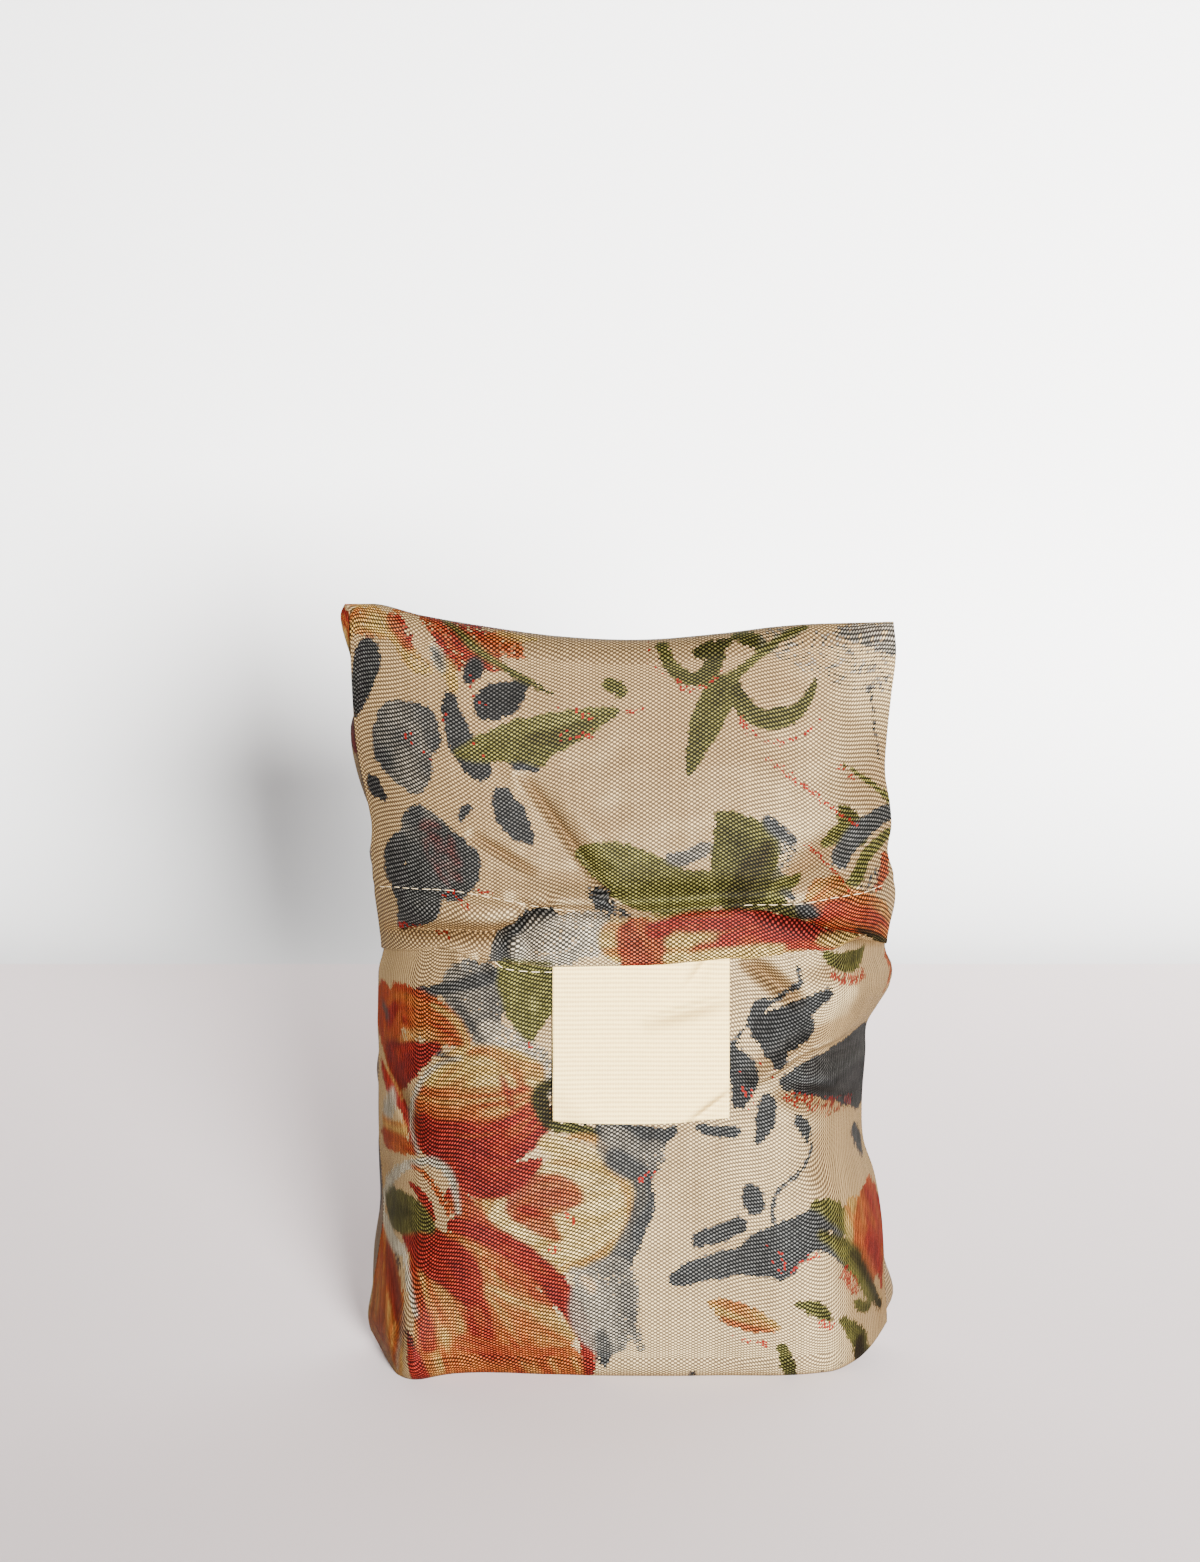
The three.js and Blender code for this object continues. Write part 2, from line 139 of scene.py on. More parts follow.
# Brush
BRUSH_STEPS = 18  # places along a stroke
SOFT_EDGE = 0.6  # distance from its edge, each way, over which the ink fades
NEAR_STROKE = 1.5  # how far beyond its edge a stroke may still leave ink
THINNEST = 0.1  # least half width that a place across a stroke is measured by
WOBBLE_WIDE = 4  # strokes narrower than this have a steadier edge
STROKE_APART = 7  # how far each stroke's streaks lie from the next one's
STREAK_STRETCH = 6  # how much longer than wide a streak is
STREAK_WIDE = 6  # petals narrower than this have fainter streaks
PETAL_CLOUD = 0.05  # how far the tone varies softly in a petal, and in other inks
INK_CLOUD = 0.1
MIDRIB = 0.1  # how much darker a leaf's midrib is
MIDRIB_HALF = 0.25  # its half width, as a share of the leaf's
MIDRIB_WIDE = 5  # leaves narrower than this have a fainter one
DOT_EDGE = 0.3  # the same as SOFT_EDGE for a line of dots
PETAL_WIDE = 2.6  # the width of all a flower's petals together, as a share of its reach

# Painted shade and sheen on the cloth: its colour is darkened in hollows, in folds and where it is turned
# away from the light, so that it is brightest where it faces the light.
HOLLOW_PASSES = 40  # passes of smoothing that level the folds
HOLLOW_DEEP = 0.9  # depth below the levelled cloth that has the full painted shade
TROUGH_DEEP = 2.4  # depth of a fold's trough that has the most painted shade
TROUGH_LOSS = 0.95
PAINTED_SHEEN_FACING = (0.24, 0.94, -0.24)  # to the right, outwards and up, towards the light, where the painted sheen is brightest
PAINTED_SHEEN_FULL = 0.99  # cosines of the angle from there
PAINTED_SHEEN_GONE = 0.85
TURNED_LOSS = 0.75

# Printed cloth. Colours are linear red, green and blue with a fourth value of 1.
Span = namedtuple("Span", "low high")
THREAD = (0.6, 0.42)  # pitch of the threads across the cloth and along it
CROWNS = Span(-0.1, 0.9)  # from the gap between threads to a thread's crown
INK_LOT = Span(0, 0.84)
INK_PATCHES = Span(-0.12, 0.28)
INK_PATCH_SCALE = 1.6
COVERED = Span(-0.12, 1.12)  # the lots that none and all of the ink takes
SPECKS = Span(0.65, 1.35)  # how bright one dyed crown is beside another
CLOTH_CLOUDS = Span(0.92, 1.08)
CLOTH_CLOUD_SCALE = 0.05
THREADS_APART = Span(-0.13, 0)  # how much darker one thread is than another
WARP_LOT = 3.5  # rows of the lot that the threads' brightness is drawn from
WEFT_LOT = 7.5
CROWN_HIGHLIGHT_GAIN = 3.9  # how much brighter the dye is on a thread's crown: thinner ink there, and a painted highlight
CROWN_PAINTED_SHINE = 0.004  # share of the bare thread's painted shine laid over dyed crowns
GAP_LEFT = 0.15  # painted shade: share of the dye's light left between the threads
# A bare thread's colour on its crown and in its gaps: lighter on the crown, a painted highlight of the
# silk, and darker in the gaps, a painted shade.
BARE_CROWN = (0.52, 0.395, 0.205, 1)
BARE_GAP = (0.06, 0.042, 0.024, 1)
FULL_LIGHT = (1, 1, 1, 1)
FOLD_SHADE = (0.42, 0.33, 0.25, 1)  # painted shade: the light left in the bottom of a fold and where the cloth is turned away
DYED_SHARE = 0.45  # how much less of that dyed threads lose
RED_DOT = (0.1, 0.0045, 0.003, 1)
DOT_CELL = 0.64
DOT_HALF = 0.42  # half the side of a dot, as a share of its cell
WEAVE_BUMP = 0.3
WEAVE_DEEP = 0.00008  # metres

# Label's cotton and the threads
RIB = 0.95  # pitch of the ribs
RIB_THREAD = 0.55
RIB_THREAD_HIGH = 0.45  # height of a thread as a share of a rib's
RIB_SWAY_SCALE = 0.5
RIB_HEIGHTS = Span(-1.2, 0.9)  # from a groove to a rib's crown
# The grooves between the ribs are coloured darker than the ribs: painted shade in the grooves.
COTTON_LOW = (0.44, 0.31, 0.12, 1)
COTTON_HIGH = (0.64, 0.485, 0.195, 1)
COTTON_UNEVEN = Span(0.96, 1.01)
COTTON_BUMP = 0.35
COTTON_DEEP = 0.0001  # metres
CREASE_SHADE = (0.5, 0.46, 0.4, 1)  # the light left on the side of a crease that faces down
FLAP_THREAD = (0.42, 0.33, 0.2, 1)
POCKET_THREAD = (0.5, 0.42, 0.28, 1)

# Stage, with the light's places in metres
FLOOR = (0.66, 0.58, 0.58, 1)
FLOOR_HALF = 4000
WALL = (0.6, 0.6, 0.604, 1)
WALL_HALF = 3000
WALL_TOP = 3000
COVE_STEPS = 17
COVE_CLEAR = 0.1  # height of the cove's foot above the floor
KEY_PLACE = (0.9, -2.76, 0.65)
KEY_AIM = (0.43, 0, 0.17)
KEY_COLOR = (1, 0.99, 0.97)
KEY_SPREAD = math.radians(27)
ROOM_COLOR = (0.97, 0.98, 1, 1)

Level = namedtuple("Level", "z front back power")
DEPTHS = [
    Level(0, 15.2, 14.6, 8),
    Level(12, 17.6, 16.8, 7),
    Level(35, 18.8, 17.8, 6),
    Level(60, 18.4, 17.8, 5.5),
    Level(88, 17, 16.8, 5),
    Level(108, 15, 15.2, 4.6),
    Level(128, 11.4, 11.8, 4.2),
    Level(142, 7.6, 8.2, 3.8),
    Level(153.5, 4, 4.4, 3.4),
]

# The side seams' distance from the middle, by height.
Sides = namedtuple("Sides", "z left right")
OUTLINE = [
    Sides(0, 50.4, 56.2),
    Sides(8, 52.6, 56.4),
    Sides(14, 51.8, 56),
    Sides(22, 50.4, 55.6),
    Sides(31, 49.2, 54.9),
    Sides(40, 49.4, 53.3),
    Sides(47, 49.9, 51),
    Sides(56, 50, 50.6),
    Sides(66, 49.8, 51.2),
    Sides(72, 50, 51.4),
    Sides(76, 49.9, 53.6),
    Sides(80, 49.8, 55.9),
    Sides(84, 49.6, 56.4),
    Sides(88, 48.6, 55),
    Sides(93, 49, 55.4),
    Sides(98, 49.6, 56.4),
    Sides(103, 50.3, 56.3),
    Sides(109, 51, 55.3),
    Sides(114, 50.8, 56),
    Sides(119, 51.6, 55.6),
    Sides(125, 52.8, 54.6),
    Sides(132, 53.9, 54.8),
    Sides(141, 54.5, 55.6),
    Sides(150, 54.8, 56.5),
    Sides(157, 54.9, 55.9),
]

# How far the back wraps out past the side seams, as a share of the half width, by height.
WRAP = [
    Sides(0, 0.05, 0.05),
    Sides(9, 0.08, 0.15),
    Sides(20, 0.13, 0.06),
    Sides(30, 0.13, 0.04),
    Sides(42, 0.12, 0.05),
    Sides(50, 0.08, 0.07),
    Sides(58, 0.12, 0.04),
    Sides(66, 0.08, 0.05),
    Sides(76, 0.06, 0.12),
    Sides(88, 0.05, 0.05),
    Sides(97, 0.1, 0.04),
    Sides(103, 0.12, 0.07),
    Sides(109, 0.05, 0.06),
    Sides(114, 0.12, 0.05),
    Sides(128, 0.13, 0.04),
    Sides(136, 0.05, 0.04),
    Sides(146, 0.13, 0.03),
    Sides(151, 0.15, 0.02),
    Sides(154, 0.12, 0.01),
]

# The top fold sags between its two corners, and the foot's corners curl up. u is the share of the
# half width, from -1 at the left seam to 1.
Rim = namedtuple("Rim", "u z")
TOP_EDGE = [
    Rim(-1, 157.4),
    Rim(-0.985, 159.2),
    Rim(-0.95, 160.2),
    Rim(-0.88, 160.1),
    Rim(-0.74, 158),
    Rim(-0.5, 155.6),
    Rim(-0.22, 153.5),
    Rim(0.08, 152.8),
    Rim(0.37, 154.1),
    Rim(0.55, 155.4),
    Rim(0.7, 156.1),
    Rim(1, 156.6),
]
FOOT_EDGE = [
    Rim(-1, 5),
    Rim(-0.97, 1.8),
    Rim(-0.94, 0.3),
    Rim(-0.91, 0),
    Rim(0.78, 0),
    Rim(0.885, 1.6),
    Rim(0.945, 3.8),
    Rim(1, 7),
]

# The flap's hem edge and the row of stitches above it, across the front.
Across = namedtuple("Across", "x z")
FLAP_EDGE = [
    Across(-54, 88.2),
    Across(-48, 88.6),
    Across(-44, 89.8),
    Across(-36, 91.8),
    Across(-33, 91.2),
    Across(-28.3, 89.8),
    Across(-23, 90),
    Across(-13, 89.2),
    Across(4, 89.4),
    Across(23.5, 91),
    Across(34.7, 90.6),
    Across(43, 91.3),
    Across(51.5, 90.8),
    Across(57, 88.6),
]
STITCH_LINE = [
    Across(-50, 101.5),
    Across(-44.8, 102.8),
    Across(-34.4, 103.5),
    Across(-24.2, 102.3),
    Across(-16.1, 100.8),
    Across(-3.9, 100),
    Across(10, 100.3),
    Across(23.5, 101.1),
    Across(36.8, 100.9),
    Across(43, 101.7),
    Across(53.7, 102.4),
]

# How deep the stitch line draws in, and how far the cloth above it bulges over it.
Pull = namedtuple("Pull", "x dip roll")
STITCH_PULL = [
    Pull(-50, 0.5, 0.2),
    Pull(-30, 0.5, 0.2),
    Pull(-18, 0.9, 0.6),
    Pull(-6, 1.3, 1.3),
    Pull(16, 1.3, 1.4),
    Pull(26, 0.9, 0.6),
    Pull(36, 0.7, 0.3),
    Pull(55, 0.6, 0.4),
]

# Folds of the front and the back, each a soft ridge (rise above 0) or trough from one end to the
# other. Above 1, lean spreads it to the left of its direction and steepens its right side.
Fold = namedtuple("Fold", "x0 z0 x1 z1 width rise lean", defaults=(1.0,))
FRONT_FOLDS = [
    Fold(-54, 160, -40, 153, 4, 1.1),
    Fold(-48, 157, -30, 150, 3, -0.7),
    Fold(-26, 134, -17, 124, 3, 0.7),
    Fold(-20, 127, -2.5, 103, 1.5, -2.32, 1.6),
    Fold(-14, 127, 2, 106, 3.6, 0.8),
    Fold(-30, 114.5, -18, 107.5, 1.3, -1.83, 1.5),
    Fold(34, 107, 48, 115, 4.2, -2.2),
    Fold(44, 107, 47, 102.4, 1.8, -1.71),
    Fold(-50, 93, -38, 94, 2.2, -1.95, 1.4),
    Fold(-42, 94.2, -22, 95, 2.6, -3.29, 1.5),
    Fold(-24, 95.5, -14, 100.5, 2, -2.93, 1.6),
    Fold(-46, 99, -22, 99.5, 2.6, 0.9),
    Fold(-18, 93, -8, 95.5, 4.4, 0.9),
    Fold(28, 99.6, 38, 96.5, 2.1, -2.56, 1.4),
    Fold(36, 97, 58, 88.5, 2.2, -4.03, 1.5),
    Fold(-22, 99.4, -21, 91, 2, 1.1),
    Fold(26, 89, 36, 80.5, 2.2, -2.81, 1.5),
    Fold(28, 64.5, 38, 70.6, 1.9, 2.32, 1.8),
    Fold(36, 70, 52, 74, 2.1, 3.17, 1.9),
    Fold(34, 62, 51, 56.4, 3, -2.81),
    Fold(40, 67, 52, 67.5, 2.8, -2.07),
    Fold(54.4, 26, 55.3, 7, 2.4, -1.95),
    Fold(-49, 44, -50, 31, 2.8, -2.44),
    Fold(-50, 31, -48.4, 22, 2.4, -2.44),
    Fold(-47.4, 20, -45, 1, 2.2, -2.44),
    Fold(-49, 66, -42.6, 52, 2.2, -3.05, 1.5),
    Fold(-33.6, 91, -32, 87.5, 1.5, 1),
    Fold(-28.4, 90.2, -27, 87, 1.5, -1),
    Fold(-45, 60, -30, 20, 9, 0.6),
    Fold(4, 52, 30, 16, 9, -0.5),
]

# Broad lumps and hollows of the front, each out by so much at its middle.
Lump = namedtuple("Lump", "x z wide tall out")
FRONT_LUMPS = [
    Lump(-44, 2, 6.5, 14, 8),
    Lump(-27, 0, 12, 8, -1.9),
    Lump(46, 64, 7, 6.5, 1.8),
    Lump(50, 101.5, 7, 5, 2.2),
    Lump(51, 83, 6, 5, 1.8),
    Lump(20, 94, 16, 4, 0.6),
    Lump(-12, 140, 26, 14, 0.8),
    Lump(34, 128, 16, 12, 0.6),
]

BACK_FOLDS = [
    Fold(-44, 148, -8, 118, 5, 1.2),
    Fold(46, 140, 14, 112, 5, -1.2),
    Fold(-50, 92, -22, 84, 4.5, -1.4),
    Fold(24, 70, 50, 80, 4.5, -1.2),
    Fold(-40, 20, -12, 38, 5.5, 1),
    Fold(18, 14, 46, 30, 5, -1),
    Fold(-52, 122, -34, 116, 2.6, -1.1),
    Fold(-20, 100, 14, 92, 4, -0.9),
    Fold(30, 100, 52, 108, 3, 1),
    Fold(-52, 52, -36, 48, 3, -1),
    Fold(-6, 60, 20, 44, 5, 0.8),
    Fold(38, 44, 54, 50, 3, -1),
]

# The cloth's edge at a side seam: each step outwards from the seam, and the share of its depth.
SeamTurn = namedtuple("SeamTurn", "out depth")
SEAM_TURN = [
    SeamTurn(0.1, 0.8),
    SeamTurn(0, 0.4),
    SeamTurn(-0.5, 0.16),
    SeamTurn(-2, 0.16),
]

# Rows of faces in each stretch of the strip.
Rows = namedtuple("Rows", "hem roll flap turn back foot sole pocket tuck")
STRIP_ROWS = Rows(9, 5, 124, 8, 96, 8, 14, 196, 7)

# Unevenness: how strong it is, how far apart its features lie, and the seed of its draw.
Noise = namedtuple("Noise", "strength pitch seed")
KNOTS = 64  # values drawn each way before the noise repeats
SLACK = {"front": Noise(0.28, 11, 3), "back": Noise(0.28, 11, 11)}
FINE_SLACK = {"front": Noise(0.1, 5.5, 4), "back": Noise(0.1, 5.5, 12)}
SEAM_PUCKERS = {"front": Noise(0.5, 4.2, 5), "back": Noise(0.5, 4.2, 13)}
SEAM_PUCKER_LONG = 0.4  # below 1, these are longer across the seam than along it
SEAM_PUCKER_REACH = 0.22  # 1 is the middle of the pouch
STITCH_PUCKERS = Noise(0.22, 2.6, 21)
STITCH_PUCKER_LONG = 0.3  # below 1, these are longer across the stitches
STITCH_PUCKER_REACH = 3.5
WOBBLE = Noise(0.3, 3, 31)  # of a stroke's edge
FINE_WOBBLE = Noise(0.12, 1.2, 32)
CLOUDS = Noise(1, 5, 33)  # of its tone
CLUMPS = Noise(0.3, 1.6, 34)  # of its cover
STREAKS = Noise(0.17, 1.1, 41)  # of a petal's tone, along it

# The label's lower edge and its creases.
LABEL_BOTTOM = [
    Across(-13.5, 56.6),
    Across(-5, 56.1),
    Across(4, 55.9),
    Across(14, 56.4),
    Across(22.4, 57.2),
]
LABEL_FOLDS = [
    Fold(22, 82.5, 6, 77.8, 1.6, 1.1, 1.8),
    Fold(22, 61.7, 14.7, 56, 1.7, -0.9, 1.5),
    Fold(-13, 66, -6, 56, 5, 0.7),
    Fold(20, 93, 14, 84, 2.2, -0.9, 1.5),
]

# The row of stitches on the pocket's hem, and where the cloth rolls over a row and hides it.
POCKET_STITCHES = [
    Across(-50, 94),
    Across(-30, 92.5),
    Across(-25.5, 89.4),
    Across(-23.4, 87.9),
    Across(-14, 87.3),
    Across(10, 88.5),
    Across(24, 92),
    Across(53, 94),
]
Rolled = namedtuple("Rolled", "left right")
ROLLED_OVER = Rolled(-10, 23)
NO_ROLL = Rolled(0, 0)

# Print. The cloth's own places are in millimetres: s is across it from the middle, to the right as
# the flap is faced. On the flap and the back h is the way down from the top fold, on the pocket it
# is the way up from the foot.

# Each dye from its palest to its deepest, as percents of the red, green and blue light sent back.
# They are deep ones, for a bright stage.
Tone = namedtuple("Tone", "at red green blue")
INKS = {
    "charcoal": [Tone(0, 12, 10.4, 7.8), Tone(0.5, 1.9, 1.95, 1.9), Tone(1, 0.4, 0.4, 0.42)],
    "flower": [
        Tone(0, 18, 13.5, 6),
        Tone(0.3, 12, 8, 2.2),
        Tone(0.55, 9, 2.4, 0.5),
        Tone(0.8, 6.2, 0.5, 0.28),
        Tone(1, 4.3, 0.4, 0.33),
    ],
    "leaf": [
        Tone(0, 7, 6.6, 2),
        Tone(0.4, 3.4, 3.2, 0.8),
        Tone(0.7, 1.4, 1.3, 0.38),
        Tone(1, 0.52, 0.36, 0.17),
    ],
    "white": [Tone(0, 14, 12.5, 9), Tone(1, 9, 8.4, 6.4)],
    "ground": [Tone(0, 16, 11.4, 6.6), Tone(1, 16, 11.4, 6.6)],
}

# One stroke of the printer's brush: a smooth line through three places, with its width at each,
# the ink's tone along its left and its right edge, and the share of the threads that it covers.
# The front's places and widths are in the photo's pixels, to the right and down. Those of the back
# are in millimetres on the cloth, x for s and y for h.
Stroke = namedtuple("Stroke", "ink x0 y0 x1 y1 x2 y2 start middle end left right cover")
FLAP_PRINT = [
    Stroke("flower", 352, 618, 372, 622, 393, 632, 26, 30, 24, 0.4, 0.4, 0.8),
    Stroke("flower", 396, 640, 410, 655, 424, 668, 14, 24, 16, 0.32, 0.32, 0.7),
    Stroke("flower", 395, 610, 415, 613, 436, 620, 8, 10, 8, 0.6, 0.5, 0.9),
    Stroke("flower", 393, 618, 402, 630, 408, 645, 14, 20, 14, 0.82, 0.8, 0.75),
    Stroke("flower", 425, 612, 450, 640, 455, 665, 18, 30, 14, 0.75, 0.7, 0.75),
    Stroke("flower", 443, 664, 450, 678, 452, 692, 16, 16, 6, 0.3, 0.3, 0.9),
    Stroke("flower", 459, 625, 478, 645, 494, 666, 22, 36, 18, 0.85, 0.8, 0.75),
    Stroke("flower", 496, 640, 510, 645, 522, 655, 22, 24, 10, 0.62, 0.6, 0.75),
    Stroke("flower", 502, 632, 520, 637, 536, 640, 10, 12, 6, 0.3, 0.3, 0.8),
    Stroke("flower", 466, 622, 495, 628, 522, 632, 6, 8, 4, 0.85, 0.82, 1),
    Stroke("charcoal", 364, 652, 364, 672, 358, 706, 30, 38, 14, 0.7, 0.7, 1),
    Stroke("charcoal", 402, 728, 400, 750, 412, 789, 46, 66, 8, 0.38, 0.46, 1),
    Stroke("charcoal", 403, 712, 424, 718, 431, 742, 16, 22, 18, 0.5, 0.5, 1),
    Stroke("charcoal", 449, 698, 458, 733, 478, 766, 12, 28, 28, 0.7, 0.7, 1),
    Stroke("charcoal", 487, 707, 502, 700, 523, 688, 27, 33, 10, 0.8, 0.8, 1),
    Stroke("charcoal", 476, 662, 473, 670, 468, 678, 14, 18, 8, 0.85, 0.85, 1),
    Stroke("white", 432, 646, 438, 658, 442, 671, 8, 15, 8, 0.5, 0.5, 0.6),
    Stroke("charcoal", 433, 648, 437, 658, 440, 669, 4, 8, 3, 0.45, 0.45, 0.9),
    Stroke("charcoal", 370, 779, 376, 788, 385, 798, 8, 16, 6, 0.75, 0.75, 1),
    Stroke("charcoal", 502, 797, 512, 817, 527, 838, 18, 33, 16, 0.65, 0.65, 1),
    Stroke("charcoal", 469, 807, 465, 812, 461, 819, 7, 10, 5, 0.55, 0.55, 0.9),
    Stroke("charcoal", 420, 818, 429, 842, 441, 872, 14, 66, 64, 0.4, 0.52, 1),
    Stroke("charcoal", 398, 842, 393, 858, 402, 886, 24, 30, 24, 0.58, 0.58, 1),
    Stroke("charcoal", 440, 838, 464, 858, 464, 880, 30, 30, 24, 0.55, 0.55, 1),
    Stroke("charcoal", 416, 894, 412, 908, 401, 926, 56, 44, 10, 0.58, 0.58, 1),
    Stroke("flower", 430, 832, 444, 852, 450, 878, 26, 38, 26, 0.95, 0.95, 0.16),
    Stroke("charcoal", 512, 755, 520, 763, 535, 769, 14, 12, 8, 0.7, 0.7, 1),
    Stroke("leaf", 441, 618, 492, 659, 553, 693, 7, 10, 3, 0.45, 0.6, 1),
    Stroke("leaf", 458, 754, 530, 738, 614, 713, 9, 40, 12, 0.28, 0.38, 1),
    Stroke("leaf", 524, 744, 533, 754, 546, 752, 14, 24, 14, 0.45, 0.45, 1),
    Stroke("leaf", 528, 738, 560, 736, 592, 722, 8, 18, 6, 0.85, 0.85, 0.55),
    Stroke("leaf", 611, 685, 615, 688, 619, 691, 14, 16, 13, 0.45, 0.45, 1),
    Stroke("leaf", 663, 645, 668, 664, 682, 676, 12, 13, 15, 0.5, 0.6, 1),
    Stroke("leaf", 682, 677, 704, 675, 718, 646, 15, 20, 16, 0.7, 0.6, 1),
    Stroke("leaf", 700, 651, 712, 647, 728, 641, 12, 16, 10, 0.65, 0.65, 1),
    Stroke("leaf", 734, 638, 748, 637, 764, 650, 10, 18, 10, 0.55, 0.7, 1),
    Stroke("leaf", 724, 688, 706, 722, 690, 771, 30, 32, 7, 0.5, 0.55, 1),
    Stroke("leaf", 733, 686, 752, 714, 776, 719, 14, 18, 21, 0.65, 0.5, 1),
    Stroke("leaf", 776, 719, 800, 709, 817, 680, 21, 15, 3, 0.6, 0.5, 1),
    Stroke("charcoal", 842, 630, 868, 632, 896, 640, 16, 28, 34, 0.35, 0.4, 0.7),
    Stroke("charcoal", 772, 628, 779, 630, 786, 631, 5, 6, 5, 0.5, 0.5, 0.5),
    Stroke("charcoal", 776, 640, 836, 656, 886, 660, 30, 60, 74, 0.3, 0.3, 0.3),
    Stroke("leaf", 804, 628, 770, 647, 735, 677, 10, 9, 15, 0.4, 0.4, 1),
    Stroke("charcoal", 871, 686, 875, 720, 880, 760, 5, 4, 4, 0.6, 0.6, 0.6),
    Stroke("leaf", 843, 765, 868, 780, 891, 799, 3, 7, 10, 0.45, 0.45, 0.9),
    Stroke("leaf", 842, 812, 852, 824, 860, 840, 14, 26, 16, 0.6, 0.5, 1),
    Stroke("leaf", 825, 842, 838, 834, 850, 832, 12, 20, 18, 0.4, 0.45, 1),
    Stroke("charcoal", 890, 812, 862, 830, 842, 858, 15, 24, 22, 0.55, 0.55, 1),
    Stroke("leaf", 888, 833, 868, 852, 849, 888, 12, 16, 11, 0.4, 0.45, 1),
    Stroke("charcoal", 880, 872, 872, 880, 863, 889, 14, 16, 10, 0.5, 0.5, 0.5),
    Stroke("flower", 884, 858, 884, 870, 878, 888, 12, 14, 8, 0.65, 0.65, 1),
    Stroke("leaf", 582, 854, 628, 876, 690, 905, 15, 62, 36, 0.3, 0.35, 1),
    Stroke("leaf", 650, 872, 680, 886, 706, 892, 30, 40, 46, 0.35, 0.4, 0.95),
    Stroke("leaf", 596, 858, 640, 880, 682, 902, 4, 10, 4, 0.6, 0.6, 0.5),
    Stroke("charcoal", 672, 858, 688, 858, 706, 848, 12, 16, 14, 0.3, 0.3, 1),
    Stroke("leaf", 717, 824, 744, 862, 742, 902, 4, 66, 40, 0.55, 0.6, 1),
    Stroke("leaf", 752, 826, 766, 850, 752, 882, 12, 26, 26, 0.5, 0.5, 1),
    Stroke("leaf", 717, 813, 738, 822, 762, 830, 7, 15, 12, 0.5, 0.5, 1),
    Stroke("leaf", 768, 846, 756, 870, 744, 896, 14, 36, 40, 0.8, 0.9, 0.85),
    Stroke("charcoal", 767, 819, 776, 830, 791, 841, 8, 16, 8, 0.55, 0.55, 0.9),
    Stroke("charcoal", 785, 842, 786, 860, 778, 877, 18, 16, 8, 0.45, 0.45, 0.45),
    Stroke("leaf", 797, 877, 782, 888, 773, 901, 10, 20, 14, 0.45, 0.45, 1),
    Stroke("charcoal", 783, 892, 789, 895, 795, 899, 6, 9, 6, 0.6, 0.6, 0.8),
    Stroke("flower", 813, 896, 825, 888, 842, 880, 16, 22, 12, 0.38, 0.5, 0.9),
    Stroke("charcoal", 588, 892, 600, 900, 622, 913, 8, 16, 12, 0.6, 0.6, 0.75),
    Stroke("charcoal", 602, 906, 608, 925, 608, 945, 14, 16, 10, 0.5, 0.5, 0.5),
    Stroke("charcoal", 515, 925, 530, 914, 552, 909, 10, 12, 4, 0.6, 0.6, 0.8),
    Stroke("charcoal", 500, 962, 518, 938, 552, 918, 26, 34, 14, 0.45, 0.6, 1),
    Stroke("charcoal", 530, 952, 558, 944, 592, 932, 40, 54, 48, 0.12, 0.12, 0.8),
    Stroke("leaf", 505, 961, 527, 963, 551, 964, 6, 8, 6, 0.5, 0.5, 0.9),
    Stroke("flower", 618, 942, 720, 940, 852, 946, 46, 48, 20, 0.3, 0.3, 0.9),
    Stroke("flower", 640, 938, 641, 950, 641, 966, 44, 46, 42, 0.78, 0.74, 0.9),
    Stroke("flower", 655, 930, 740, 921, 812, 938, 18, 26, 24, 0.82, 0.78, 1),
    Stroke("flower", 690, 951, 760, 940, 832, 949, 8, 28, 14, 0.8, 0.78, 1),
    Stroke("flower", 676, 936, 692, 940, 715, 940, 8, 11, 6, 0.32, 0.32, 0.6),
    Stroke("flower", 668, 959, 725, 955, 778, 949, 10, 16, 12, 0.26, 0.3, 0.95),
    Stroke("flower", 757, 914, 800, 928, 858, 940, 8, 20, 10, 1, 0.95, 1),
    Stroke("flower", 820, 941, 840, 939, 862, 945, 6, 12, 6, 0.22, 0.25, 0.95),
    Stroke("flower", 812, 924, 845, 923, 886, 938, 14, 26, 18, 0.62, 0.7, 1),
    Stroke("flower", 814, 912, 855, 905, 893, 930, 20, 36, 24, 0.5, 0.6, 1),
    Stroke("flower", 820, 920, 850, 912, 886, 926, 12, 22, 8, 0.78, 0.75, 0.9),
    Stroke("leaf", 769, 905, 786, 911, 804, 919, 6, 14, 4, 0.75, 0.75, 1),
    Stroke("charcoal", 800, 908, 808, 912, 816, 916, 8, 16, 8, 0.75, 0.75, 1),
    Stroke("leaf", 857, 929, 872, 936, 891, 943, 6, 12, 10, 0.9, 0.9, 1),
]
